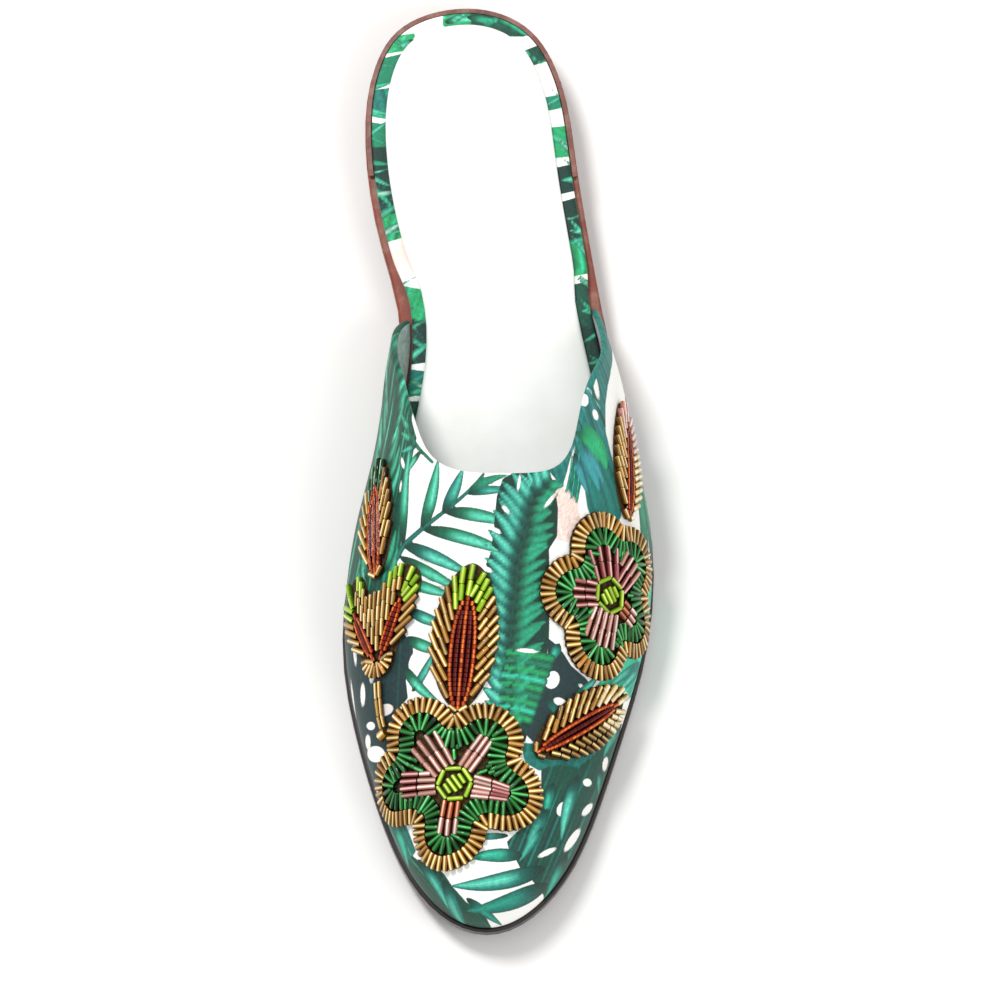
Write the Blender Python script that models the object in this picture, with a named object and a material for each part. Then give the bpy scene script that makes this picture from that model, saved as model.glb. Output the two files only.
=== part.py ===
"""A flat left mule with a pointed toe: stacked sole, wrapped insole board, hollow vamp and raised beadwork.

Metres, +Z up. The toe points to -Y, the big-toe side is -X, and the sole stands on Z = 0.
"""

import math

import bmesh
import bpy
import numpy as np

# Sole
SOLE_LENGTH = 0.255
BALL_WIDTH = 0.0812
SOLE_THICKNESS = 0.0035
TOE_SPRING = 0.0070
HEEL_HEIGHT = 0.0086
TOP_PIECE_THICKNESS = 0.0025
HEEL_LENGTH = 0.0500
HEEL_TAPER = 0.0010
SOLE_EDGE_ROUND = 0.0006

# Insole board and the padded sock on it
BOARD_THICKNESS = 0.0022
SOCK_THICKNESS = 0.0016
SOCK_MARGIN = 0.0036
RAND_WIDTH = 0.0012
RAND_HEIGHT = 0.0014
RAND_LENGTH = 0.0470

# Upper
WALL = 0.0018
SOLE_LEDGE = 0.0011
INSTEP_HEIGHT = 0.0470
SIDE_BULGE = 0.0030
BULGE_LEVEL = 0.0140

# Beadwork: pads as high as the rows of glass beads that are sewn to the upper
BEAD_HEIGHT = 0.0014
FLOWER_REACH = 0.0260
PETAL_WIDTH = 0.0205
LEAF_LENGTH = 0.0390
LEAF_WIDTH = 0.0160
FAN_REACH = 0.0270
FAN_LEAF_WIDTH = 0.0115
STEM_WIDTH = 0.0022

# Curved pieces that meet, or rest on each other, stay this far apart. On the flat pattern, a leaf
# starts this far from its flower, and the flower and the leaf fan lie this far from the toe flower
GAP = 0.0003
PAD_GAP = 0.0004
LEAF_SPACING = 0.0008
FLOWER_SPACING = 0.0238
FAN_SPACING = 0.0106

# How the meshes are divided
SIDE_STEPS = 44
UPPER_AROUND = 36
UPPER_ALONG = 26
PAD_SPOKES = 48
PAD_RINGS = 5
LEAF_SPOKES = 28
LEAF_RINGS = 4
PATTERN_STEPS = 160
WELD = 1e-6
SHARP_ANGLE = math.radians(35)


def columns(names, rows):
    """A short table as one array for each named column."""
    return dict(zip(names.split(), np.array(rows, float).T, strict=True))


# The sole's outline: share of the length from the toe tip, then the distance from the long axis
# to each side, as a share of the ball width
OUTLINE = columns(
    "at medial lateral",
    [
        (0.000, 0.037, -0.037),
        (0.024, 0.200, 0.125),
        (0.075, 0.311, 0.243),
        (0.145, 0.395, 0.331),
        (0.225, 0.463, 0.409),
        (0.298, 0.501, 0.472),
        (0.371, 0.496, 0.503),
        (0.440, 0.455, 0.496),
        (0.500, 0.402, 0.458),
        (0.585, 0.335, 0.400),
        (0.660, 0.319, 0.347),
        (0.742, 0.379, 0.299),
        (0.828, 0.427, 0.256),
        (0.890, 0.430, 0.229),
        (0.940, 0.398, 0.182),
        (0.975, 0.330, 0.109),
        (1.000, 0.099, -0.099),
    ],
)

# The upper's cross-sections: crest height as a share of INSTEP_HEIGHT, the crest's place across
# from the medial foot, each side's swell as a share of SIDE_BULGE, and how fast each side falls
SECTIONS = columns(
    "at height crest medial_swell lateral_swell medial_fall lateral_fall",
    [
        (0.000, 0.000, 0.500, 0.00, 0.00, 0.94, 0.94),
        (0.020, 0.255, 0.500, 0.05, 0.05, 0.94, 0.94),
        (0.080, 0.415, 0.490, 0.15, 0.15, 0.94, 0.94),
        (0.160, 0.515, 0.480, 0.25, 0.25, 0.95, 0.95),
        (0.240, 0.620, 0.470, 0.30, 0.35, 0.97, 0.97),
        (0.320, 0.755, 0.460, 0.40, 0.45, 0.99, 1.00),
        (0.400, 0.915, 0.460, 0.60, 0.50, 1.00, 1.02),
        (0.445, 1.000, 0.465, 0.75, 0.52, 1.00, 1.05),
        (0.520, 1.095, 0.475, 1.00, 0.62, 1.00, 1.18),
        (0.600, 1.190, 0.485, 1.60, 0.60, 1.00, 1.28),
        (0.640, 1.230, 0.490, 1.25, 0.25, 1.00, 1.28),
        (0.700, 1.270, 0.500, 0.30, 0.00, 1.00, 1.25),
    ],
)

# The topline: how far round the section, from the medial foot to the lateral one, then the
# share of the sole's length from the toe tip
TOPLINE = columns(
    "around at",
    [
        (0.000, 0.662),
        (0.060, 0.637),
        (0.110, 0.606),
        (0.160, 0.575),
        (0.210, 0.538),
        (0.260, 0.506),
        (0.300, 0.483),
        (0.350, 0.463),
        (0.430, 0.448),
        (0.510, 0.445),
        (0.590, 0.448),
        (0.650, 0.460),
        (0.700, 0.490),
        (0.745, 0.534),
        (0.790, 0.567),
        (0.860, 0.602),
        (0.930, 0.642),
        (1.000, 0.676),
    ],
)

# Motifs with lobes: the way each lobe points on the flat pattern, in degrees from the lateral side
# towards the heel, and its reach as a share of FLOWER_REACH or FAN_REACH
TOE_FLOWER = columns("way reach", [(123, 1.02), (54, 0.92), (-12, 0.90), (-100, 0.88), (174, 1.02)])
SIDE_FLOWER = columns("way reach", [(104, 0.86), (52, 0.90), (186, 0.80), (-104, 0.90), (-27, 0.76)])
LEAF_FAN = columns("way reach", [(68, 0.93), (95, 0.66), (124, 1.06)])

# The toe flower's centre on the flat pattern: from the crest towards the lateral side as a share of
# BALL_WIDTH, and from the toe tip as a share of SOLE_LENGTH. Then the way from it to the others
TOE_FLOWER_PLACE = {"across": -0.095, "along": 0.1675}
WAY_TO = {"flower_side": 51.0, "leaf_fan_medial": 121.0}

# Single leaves: the motif that each grows from, at what angle round it, and the way it points;
# its length and width as shares of LEAF_LENGTH and LEAF_WIDTH
LEAVES = {
    "leaf_centre": ("flower_toe", 86, 85, 1.00, 1.15),
    "leaf_toe_side": ("flower_toe", 20, 34, 0.96, 0.95),
    "leaf_lateral": ("flower_side", 78, 82, 0.92, 0.90),
    "leaf_medial": ("leaf_fan_medial", 95, 108, 0.94, 0.88),
}

# A leaf's outline is an oval with a power of 2 and a diamond with 1
LEAF_SHAPE = {"power": 1.6}

# The beaded stem from the leaf fan to the toe flower: offsets from the fan's centre, across and
# towards the toe, as shares of FAN_SPACING + FAN_LEAF_WIDTH / 2
STEM = columns("across down", [(0.00, 0.39), (0.00, 0.63), (0.05, 0.87), (0.10, 1.08)])

# The sole's profile: where the toe spring, the arch and the heel seat begin, as shares of the length
# from the toe tip, and how the toe curls up. Then from where on the sock's border narrows towards
# the toe, and to what share of itself
PROFILE = {
    "toe_lift_at": 0.245,
    "arch_at": 0.400,
    "seat_at": 0.800,
    "toe_curl": 2.2,
    "sock_narrows_at": 0.150,
    "sock_least_border": 0.450,
}


def spline(xs, ys):
    """A natural cubic curve through the points (xs, ys), as a function."""
    gaps = np.diff(xs)
    slopes = np.diff(ys) / gaps
    system = np.eye(len(xs))
    right = np.zeros(len(xs))
    for i in range(1, len(xs) - 1):
        system[i, i - 1 : i + 2] = gaps[i - 1], 2 * (gaps[i - 1] + gaps[i]), gaps[i]
        right[i] = 6 * (slopes[i] - slopes[i - 1])
    bend = np.linalg.solve(system, right)

    def value(x):
        x = np.asarray(x, float)
        i = np.clip(np.searchsorted(xs, x) - 1, 0, len(gaps) - 1)
        t = x - xs[i]
        back = xs[i + 1] - x
        cubic = (bend[i] * back**3 + bend[i + 1] * t**3) / (6 * gaps[i])
        left_line = (ys[i] / gaps[i] - bend[i] * gaps[i] / 6) * back
        right_line = (ys[i + 1] / gaps[i] - bend[i + 1] * gaps[i] / 6) * t
        return cubic + left_line + right_line

    return value


def turn_at(share):
    """The angle that runs from 0 at the toe tip to pi at the heel's back, which rounds both ends."""
    return np.arccos(np.clip(1 - 2 * np.asarray(share, float), -1, 1))


def table_curve(table, name):
    return spline(turn_at(table["at"]), table[name])


medial_share = table_curve(OUTLINE, "medial")
lateral_share = table_curve(OUTLINE, "lateral")
section = {name: table_curve(SECTIONS, name) for name in SECTIONS if name != "at"}
topline_share = spline(TOPLINE["around"], TOPLINE["at"])


def outline_point(turn, side):
    """A point of the sole's outline. side is -1 on the medial side and 1 on the lateral side."""
    share = medial_share(turn) if side < 0 else lateral_share(turn)
    return np.stack([side * share * BALL_WIDTH, -SOLE_LENGTH / 2 * np.cos(turn)], -1)


def outline_run(turn, side):
    """How the outline runs on as turn grows. It is square to the long axis at both ends."""
    step = 1e-4
    share = medial_share if side < 0 else lateral_share
    before = np.clip(turn - step, 0, math.pi)
    after = np.clip(turn + step, 0, math.pi)
    across = side * BALL_WIDTH * (share(after) - share(before)) / (after - before)
    return np.stack([across, SOLE_LENGTH / 2 * np.sin(turn)], -1)


def inset_point(turn, side, inset):
    """The outline moved inwards by inset, square to itself."""
    along = outline_run(turn, side)
    along /= np.linalg.norm(along, axis=-1, keepdims=True)
    inward = np.stack([-side * along[..., 1], side * along[..., 0]], -1)
    return outline_point(turn, side) + inward * np.asarray(inset)[..., None]


def share_of(y):
    return y / SOLE_LENGTH + 0.5


def smooth_step(t):
    t = np.clip(t, 0, 1)
    return t * t * (3 - 2 * t)


def sole_bottom(y):
    """The height of the sole's underside: toe spring, flat forefoot, arch and heel seat."""
    share = share_of(y)
    lift_at, arch_at = PROFILE["toe_lift_at"], PROFILE["arch_at"]
    toe = TOE_SPRING * np.clip((lift_at - share) / lift_at, 0, 1) ** PROFILE["toe_curl"]
    rise = smooth_step((share - arch_at) / (PROFILE["seat_at"] - arch_at))
    return toe + HEEL_HEIGHT * rise


def sole_top(y):
    return sole_bottom(y) + SOLE_THICKNESS


def board_bottom(y):
    return sole_top(y) + GAP


def board_top(y):
    return board_bottom(y) + BOARD_THICKNESS


def feather_height(y):
    """The height of the upper's lower edge, where it meets the sole."""
    return sole_top(y) + GAP


def outer_surface(turn, around):
    """The upper's outside. around runs from 0 at the medial foot over the crest to pi."""
    turn, around = np.broadcast_arrays(turn, around)
    foot = [inset_point(turn, side, SOLE_LEDGE) for side in (-1, 1)]
    crest = foot[0] + (foot[1] - foot[0]) * section["crest"](turn)[..., None]
    lateral = around > math.pi / 2
    lean = np.where(lateral, math.pi - around, around)
    fall = np.where(lateral, section["lateral_fall"](turn), section["medial_fall"](turn))
    swell = np.where(lateral, section["lateral_swell"](turn), section["medial_swell"](turn))
    nearest = np.where(lateral[..., None], foot[1], foot[0])
    reach = np.clip(np.cos(lean), 0, 1) ** fall
    rise = section["height"](turn) * INSTEP_HEIGHT * np.sin(lean)
    level = rise / BULGE_LEVEL
    bulge = SIDE_BULGE * swell * level * np.exp(1 - level) * np.cos(lean)
    place = crest + (nearest - crest) * reach[..., None]
    x = place[..., 0] + np.where(lateral, bulge, -bulge)
    y = place[..., 1]
    return np.stack([x, y, feather_height(y) + rise], -1)


def outward(turn, around):
    """The upper's outward normal, from small steps over the surface."""
    step = 1e-3
    turn = np.maximum(turn, 2 * step)
    along = outer_surface(turn + step, around) - outer_surface(turn - step, around)
    across = outer_surface(turn, around + step) - outer_surface(turn, around - step)
    normal = np.cross(across, along)
    return normal / np.linalg.norm(normal, axis=-1, keepdims=True)


def clear_scene():
    for thing in list(bpy.data.objects):
        bpy.data.objects.remove(thing)


def material(name, colour, roughness, metallic=0.0):
    made = bpy.data.materials.new(name)
    made.use_nodes = True
    shader = made.node_tree.nodes["Principled BSDF"]
    shader.inputs["Base Color"].default_value = (*colour, 1)
    shader.inputs["Roughness"].default_value = roughness
    shader.inputs["Metallic"].default_value = metallic
    return made


def add_object(name, mesh, finish):
    thing = bpy.data.objects.new(name, mesh)
    thing.data.materials.append(finish)
    mule.objects.link(thing)
    return thing


def mesh_from(name, build):
    """A mesh from a function that fills a bmesh, with its poles welded and its faces turned out."""
    shape = bmesh.new()
    build(shape)
    bmesh.ops.remove_doubles(shape, verts=shape.verts, dist=WELD)
    bmesh.ops.recalc_face_normals(shape, faces=shape.faces)
    mesh = bpy.data.meshes.new(name)
    shape.to_mesh(mesh)
    shape.free()
    mesh.shade_smooth()
    mesh.set_sharp_from_angle(angle=SHARP_ANGLE)
    return mesh


def loop_points(turns, inset):
    """A closed outline: up the medial side from the toe end, then back down the lateral side."""
    insets = inset(turns) if callable(inset) else np.full(len(turns), inset)
    medial = inset_point(turns, -1, insets)
    lateral = inset_point(turns, 1, insets)
    return np.concatenate([medial, lateral[::-1]])


def slab(name, finish, rings, start=0.0):
    """A flat piece of the sole. Each ring is an inset from the outline and a height over Y."""
    turns = np.linspace(start, math.pi, SIDE_STEPS + 1)
    count = len(turns)

    def build(shape):
        loops = []
        for inset, height in rings:
            plan = loop_points(turns, inset)
            loops.append([shape.verts.new((x, y, height(y))) for x, y in plan])
        for low, high in zip(loops, loops[1:], strict=False):
            for i in range(2 * count):
                j = (i + 1) % (2 * count)
                shape.faces.new((low[i], low[j], high[j], high[i]))
        for loop in (loops[0], loops[-1]):
            for i in range(count - 1):
                shape.faces.new((loop[i], loop[i + 1], loop[-2 - i], loop[-1 - i]))

    return add_object(name, mesh_from(name, build), finish)


def rounded_rings(inset, low, high, round_by):
    """Rings of an edge that is square in the middle and eased at its top and bottom."""

    def eased(by):
        return (lambda turns: inset(turns) + by) if callable(inset) else inset + by

    return [
        (eased(round_by), low),
        (eased(0.0), lambda y: low(y) + round_by),
        (eased(0.0), lambda y: high(y) - round_by),
        (eased(round_by), high),
    ]


def board_inset(turns):
    """Inside the upper's wall at the front, and out to the rand behind the vamp's ends."""
    front = SOLE_LEDGE + WALL + GAP
    rear = RAND_WIDTH + 2 * GAP
    y = -SOLE_LENGTH / 2 * np.cos(turns)
    ends = max(TOPLINE["at"][0], TOPLINE["at"][-1])
    blend = smooth_step((share_of(y) - ends) / 0.05)
    return front + (rear - front) * blend


def sock_inset(turns):
    share = share_of(-SOLE_LENGTH / 2 * np.cos(turns))
    least = PROFILE["sock_least_border"]
    border = least + (1 - least) * smooth_step(share / PROFILE["sock_narrows_at"])
    return board_inset(turns) + SOCK_MARGIN * border


def make_sole():
    breast = turn_at(1 - HEEL_LENGTH / SOLE_LENGTH)
    slab(
        "outsole",
        sole_finish,
        rounded_rings(0.0, sole_bottom, sole_top, SOLE_EDGE_ROUND),
    )
    slab(
        "heel_lift",
        heel_finish,
        [
            (HEEL_TAPER, lambda y: np.full_like(y, TOP_PIECE_THICKNESS + GAP)),
            (0.4 * HEEL_TAPER, lambda y: sole_bottom(y) - GAP),
        ],
        start=breast,
    )
    slab(
        "heel_top_piece",
        rubber_finish,
        [
            (1.3 * HEEL_TAPER, np.zeros_like),
            (HEEL_TAPER, lambda y: np.full_like(y, TOP_PIECE_THICKNESS)),
        ],
        start=breast,
    )


def make_insole():
    slab(
        "insole_board",
        print_finish,
        rounded_rings(board_inset, board_bottom, board_top, SOLE_EDGE_ROUND),
    )
    slab(
        "sock",
        sock_finish,
        rounded_rings(
            sock_inset,
            lambda y: board_top(y) + GAP,
            lambda y: board_top(y) + GAP + SOCK_THICKNESS,
            SOLE_EDGE_ROUND,
        ),
    )


def make_rand():
    """The narrow strip round the heel seat, which ends on each side ahead of the heel's back."""
    start = turn_at(1 - RAND_LENGTH / SOLE_LENGTH)
    turns = np.linspace(start, math.pi, SIDE_STEPS // 2 + 1)
    outer_loop = loop_points(turns, GAP)
    inner_loop = loop_points(turns, GAP + RAND_WIDTH)
    # The two points at the heel's back are one, so the lateral copy of it is left out
    keep = [i for i in range(2 * len(turns)) if i != len(turns)]

    def build(shape):
        bars = []
        for (xo, yo), (xi, yi) in zip(outer_loop[keep], inner_loop[keep], strict=True):
            corners = [(xo, yo, 0), (xo, yo, 1), (xi, yi, 1), (xi, yi, 0)]
            bars.append(
                [
                    shape.verts.new((x, y, sole_top(y) + GAP + up * RAND_HEIGHT))
                    for x, y, up in corners
                ]
            )
        for a, b in zip(bars, bars[1:], strict=False):
            for i in range(4):
                j = (i + 1) % 4
                shape.faces.new((a[i], a[j], b[j], b[i]))
        shape.faces.new(bars[0])
        shape.faces.new(bars[-1][::-1])

    add_object("heel_rand", mesh_from("heel_rand", build), heel_finish)


def grid_faces(shape, rows):
    for low, high in zip(rows, rows[1:], strict=False):
        for i in range(len(low) - 1):
            shape.faces.new((low[i], low[i + 1], high[i + 1], high[i]))


def make_upper():
    """The vamp: its outside and inside are two skins of one loft, joined along the edges."""
    around = np.linspace(0, math.pi, UPPER_AROUND + 1)
    last_turn = turn_at(topline_share(around / math.pi))
    steps = np.linspace(0, 1, UPPER_ALONG + 1)

    def build(shape):
        skins = []
        for depth in (0.0, WALL):
            rows = []
            for step in steps:
                turn = last_turn * step
                points = outer_surface(turn, around) - depth * outward(turn, around)
                points[:, 2] = np.maximum(points[:, 2], feather_height(points[:, 1]))
                if step == 0:
                    points[:] = points.mean(axis=0)
                rows.append([shape.verts.new(p) for p in points])
            grid_faces(shape, rows)
            skins.append(rows)
        outside, inside = skins
        for side in (0, -1):
            for k in range(UPPER_ALONG):
                pair = outside[k][side], outside[k + 1][side]
                shape.faces.new((*pair, inside[k + 1][side], inside[k][side]))
        for i in range(UPPER_AROUND):
            pair = outside[-1][i], outside[-1][i + 1]
            shape.faces.new((*pair, inside[-1][i + 1], inside[-1][i]))

    add_object("upper", mesh_from("upper", build), print_finish)


class VampPattern:
    """Places on the vamp laid out flat: girth from the crest, and length along it from the toe."""

    def __init__(self):
        self.turns = np.linspace(0, float(turn_at(SECTIONS["at"][-1])), PATTERN_STEPS)
        self.around = np.linspace(0, math.pi, PATTERN_STEPS + 1)
        self.lengths = self.running(outer_surface(self.turns, np.full(PATTERN_STEPS, math.pi / 2)))

    @staticmethod
    def running(points):
        steps = np.linalg.norm(np.diff(points, axis=0), axis=1)
        return np.concatenate([[0], np.cumsum(steps)])

    def place(self, girth, length):
        """(turn, around) of one point of the flat pattern, in metres."""
        turn = float(np.interp(length, self.lengths, self.turns))
        run = self.running(outer_surface(np.full(len(self.around), turn), self.around))
        run -= run[PATTERN_STEPS // 2]
        return turn, float(np.interp(girth, run, self.around))

    def on_surface(self, girth, length, height):
        turn, around = (np.array([angle]) for angle in self.place(girth, length))
        return (outer_surface(turn, around) + height * outward(turn, around))[0]


def moved(place, way, distance):
    """A place on the flat pattern, moved in a way given in radians."""
    return (place[0] + distance * math.cos(way), place[1] + distance * math.sin(way))


def lobed(lobes, reach, width, core):
    """A motif's outline as a function of the way: round-ended bars from the centre of a small core."""

    def reach_at(way):
        best = core
        for lobe_way, share in zip(lobes["way"], lobes["reach"], strict=True):
            apart = abs((way - math.radians(lobe_way) + math.pi) % (2 * math.pi) - math.pi)
            middle = share * reach - width / 2
            if apart >= math.pi / 2:
                continue
            if middle * math.tan(apart) >= width / 2:
                best = max(best, width / 2 / math.sin(apart))
            else:
                cap = math.sqrt((width / 2) ** 2 - (middle * math.sin(apart)) ** 2)
                best = max(best, middle * math.cos(apart) + cap)
        return best

    return reach_at


def leaf_shape(length, width, way):
    """A leaf's outline round its middle: an oval drawn out to a point at both ends."""

    def reach_at(angle):
        along = abs(math.cos(angle - way)) / (length / 2)
        across = abs(math.sin(angle - way)) / (width / 2)
        power = LEAF_SHAPE["power"]
        return (along**power + across**power) ** (-1 / power)

    return reach_at


def bead_pad(name, centre, reach_at, spokes, rings):
    """A low pad over the vamp, with an outline given round a centre of the flat pattern."""
    angles = np.linspace(0, 2 * math.pi, spokes, endpoint=False)

    def corner(ring, angle, lift):
        girth, length = moved(centre, angle, reach_at(angle) * ring / rings)
        return pattern.on_surface(girth, length, lift)

    def build(shape):
        rims = []
        for lift in (PAD_GAP, PAD_GAP + BEAD_HEIGHT):
            middle = shape.verts.new(corner(0, 0, lift))
            loops = [
                [shape.verts.new(corner(ring, a, lift)) for a in angles]
                for ring in range(1, rings + 1)
            ]
            for i in range(spokes):
                shape.faces.new((middle, loops[0][i], loops[0][(i + 1) % spokes]))
            for low, high in zip(loops, loops[1:], strict=False):
                for i in range(spokes):
                    j = (i + 1) % spokes
                    shape.faces.new((low[i], low[j], high[j], high[i]))
            rims.append(loops[-1])
        for i in range(spokes):
            j = (i + 1) % spokes
            shape.faces.new((rims[0][i], rims[0][j], rims[1][j], rims[1][i]))

    add_object(name, mesh_from(name, build), bead_finish)


def motif_centres(outlines):
    """The toe flower's place, then the others in their ways from it, clear of its outline and their own."""
    toe = (TOE_FLOWER_PLACE["across"] * BALL_WIDTH, TOE_FLOWER_PLACE["along"] * SOLE_LENGTH)
    to_side, to_fan = (math.radians(way) for way in WAY_TO.values())
    side_reach = outlines["flower_side"](to_side - math.pi)
    away = outlines["flower_toe"](to_side) + FLOWER_SPACING + side_reach
    fan_away = outlines["flower_toe"](to_fan) + FAN_SPACING + FAN_LEAF_WIDTH / 2
    return {
        "flower_toe": toe,
        "flower_side": moved(toe, to_side, away),
        "leaf_fan_medial": moved(toe, to_fan, fan_away),
    }


def make_beadwork():
    outlines = {
        "flower_toe": lobed(TOE_FLOWER, FLOWER_REACH, PETAL_WIDTH, PETAL_WIDTH / 2),
        "flower_side": lobed(SIDE_FLOWER, FLOWER_REACH, PETAL_WIDTH, PETAL_WIDTH / 2),
        "leaf_fan_medial": lobed(LEAF_FAN, FAN_REACH, FAN_LEAF_WIDTH, FAN_LEAF_WIDTH / 2),
    }
    centres = motif_centres(outlines)
    for name, outline in outlines.items():
        bead_pad(name, centres[name], outline, PAD_SPOKES, PAD_RINGS)
    for name, (motif, angle, way, length, width) in LEAVES.items():
        angle, way = math.radians(angle), math.radians(way)
        start = moved(centres[motif], angle, outlines[motif](angle) + LEAF_SPACING)
        leaf = length * LEAF_LENGTH
        outline = leaf_shape(leaf, width * LEAF_WIDTH, way)
        bead_pad(name, moved(start, way, leaf / 2), outline, LEAF_SPOKES, LEAF_RINGS)
    make_stem(centres["leaf_fan_medial"])


def make_stem(centre):
    curve = bpy.data.curves.new("bead_stem", "CURVE")
    curve.dimensions = "3D"
    curve.bevel_depth = STEM_WIDTH / 2
    curve.bevel_resolution = 1
    curve.use_fill_caps = True
    line = curve.splines.new("POLY")
    reach = FAN_SPACING + FAN_LEAF_WIDTH / 2
    places = [
        (centre[0] + across * reach, centre[1] - down * reach)
        for across, down in zip(STEM["across"], STEM["down"], strict=True)
    ]
    line.points.add(len(places) - 1)
    for point, (girth, length) in zip(line.points, places, strict=True):
        point.co = (*pattern.on_surface(girth, length, PAD_GAP + STEM_WIDTH / 2), 1)
    add_object("bead_stem", curve, bead_finish)


clear_scene()
mule = bpy.data.collections.new("mule")
bpy.context.scene.collection.children.link(mule)
sole_finish = material("sole_edge", (0.20, 0.07, 0.045), 0.45)
heel_finish = material("heel_stack", (0.27, 0.09, 0.06), 0.45)
rubber_finish = material("heel_rubber", (0.02, 0.018, 0.017), 0.75)
print_finish = material("leaf_print_cloth", (0.10, 0.42, 0.32), 0.6)
sock_finish = material("white_sock", (0.85, 0.84, 0.81), 0.55)
bead_finish = material("glass_beads", (0.55, 0.30, 0.10), 0.2)
pattern = VampPattern()
make_sole()
make_insole()
make_rand()
make_upper()
make_beadwork()
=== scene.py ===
import math

import bmesh
import bpy
import numpy as np
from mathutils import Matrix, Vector


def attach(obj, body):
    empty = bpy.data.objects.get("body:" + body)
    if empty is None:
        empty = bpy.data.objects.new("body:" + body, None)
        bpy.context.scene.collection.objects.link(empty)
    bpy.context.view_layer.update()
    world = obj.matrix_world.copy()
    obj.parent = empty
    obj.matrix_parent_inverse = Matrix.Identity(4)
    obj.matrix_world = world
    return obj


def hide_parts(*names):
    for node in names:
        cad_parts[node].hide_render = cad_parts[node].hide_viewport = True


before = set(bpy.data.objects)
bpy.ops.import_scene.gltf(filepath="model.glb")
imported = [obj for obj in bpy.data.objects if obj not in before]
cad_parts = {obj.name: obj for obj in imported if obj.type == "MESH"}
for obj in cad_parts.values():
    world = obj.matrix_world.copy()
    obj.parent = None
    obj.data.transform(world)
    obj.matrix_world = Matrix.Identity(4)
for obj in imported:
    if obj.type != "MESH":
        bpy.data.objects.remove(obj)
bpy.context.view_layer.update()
print("packed mule loaded")

# The last's sizes in metres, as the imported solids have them
last = {
    "length": 0.255,
    "ballWidth": 0.0812,
    "soleThickness": 0.0035,
    "toeSpring": 0.0070,
    "heelHeight": 0.0086,
    "boardThickness": 0.0022,
    "sockThickness": 0.0016,
    "wall": 0.0018,
    "ledge": 0.0011,
    "instep": 0.0470,
    "bulge": 0.0030,
    "bulgeLevel": 0.0140,
    "gap": 0.0003,
}


# Small helpers


def hexColour(code):  # sRGB hex to the linear colour that a socket takes
    parts = [int(code[i : i + 2], 16) / 255 for i in (1, 3, 5)]
    linear = [c / 12.92 if c <= 0.04045 else ((c + 0.055) / 1.055) ** 2.4 for c in parts]
    return (*linear, 1.0)


def addNode(tree, kind, inputs=None, **settings):  # a value is set on its socket, an output is linked to it
    node = tree.nodes.new(kind)
    for name, value in settings.items():
        setattr(node, name, value)
    for key, value in (inputs or {}).items():
        if isinstance(value, bpy.types.NodeSocket):
            tree.links.new(value, node.inputs[key])
        else:
            node.inputs[key].default_value = value
    return node


def newMaterial(name, **values):  # a Principled material with plain values set on its own sockets
    made = bpy.data.materials.new(name)
    made.use_nodes = True
    shader = made.node_tree.nodes["Principled BSDF"]
    for key, value in values.items():
        shader.inputs[key.replace("_", " ")].default_value = value
    return made, made.node_tree, shader


def setStops(ramp, stops):
    band = ramp.color_ramp
    while len(band.elements) > len(stops):
        band.elements.remove(band.elements[-1])
    while len(band.elements) < len(stops):
        band.elements.new(1.0)
    for element, (place, code) in zip(band.elements, stops, strict=True):
        element.position = place
        element.color = hexColour(code)


def addObject(name, mesh, *materials):
    made = bpy.data.objects.new(name, mesh)
    for one in materials:
        made.data.materials.append(one)
    bpy.context.scene.collection.objects.link(made)
    return made


def addPiece(made, slot, *nodes):  # the piece rides on the mule and stands for these solids
    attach(made, "root")
    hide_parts(*nodes)
    return made


def smoothStep(t):
    t = np.clip(t, 0, 1)
    return t * t * (3 - 2 * t)


# The last's surface, from the same short tables as the solids


def spline(xs, ys):  # natural cubic curve through the points
    xs, ys = np.asarray(xs, float), np.asarray(ys, float)
    gaps = np.diff(xs)
    slopes = np.diff(ys) / gaps
    system = np.eye(len(xs))
    right = np.zeros(len(xs))
    for i in range(1, len(xs) - 1):
        system[i, i - 1 : i + 2] = gaps[i - 1], 2 * (gaps[i - 1] + gaps[i]), gaps[i]
        right[i] = 6 * (slopes[i] - slopes[i - 1])
    bend = np.linalg.solve(system, right)

    def value(x):
        x = np.asarray(x, float)
        i = np.clip(np.searchsorted(xs, x) - 1, 0, len(gaps) - 1)
        t = x - xs[i]
        back = xs[i + 1] - x
        cubic = (bend[i] * back**3 + bend[i + 1] * t**3) / (6 * gaps[i])
        left = (ys[i] / gaps[i] - bend[i] * gaps[i] / 6) * back
        return cubic + left + (ys[i + 1] / gaps[i] - bend[i + 1] * gaps[i] / 6) * t

    return value


def turnAt(share):
    return np.arccos(np.clip(1 - 2 * np.asarray(share, float), -1, 1))


# Share of the length from the toe tip, then the medial and the lateral half widths
outlineTable = np.array([
    (0.000, 0.037, -0.037), (0.024, 0.200, 0.125), (0.075, 0.311, 0.243), (0.145, 0.395, 0.331),
    (0.225, 0.463, 0.409), (0.298, 0.501, 0.472), (0.371, 0.496, 0.503), (0.440, 0.455, 0.496),
    (0.500, 0.402, 0.458), (0.585, 0.335, 0.400), (0.660, 0.319, 0.347), (0.742, 0.379, 0.299),
    (0.828, 0.427, 0.256), (0.890, 0.430, 0.229), (0.940, 0.398, 0.182), (0.975, 0.330, 0.109),
    (1.000, 0.099, -0.099),
])  # fmt: skip
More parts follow.
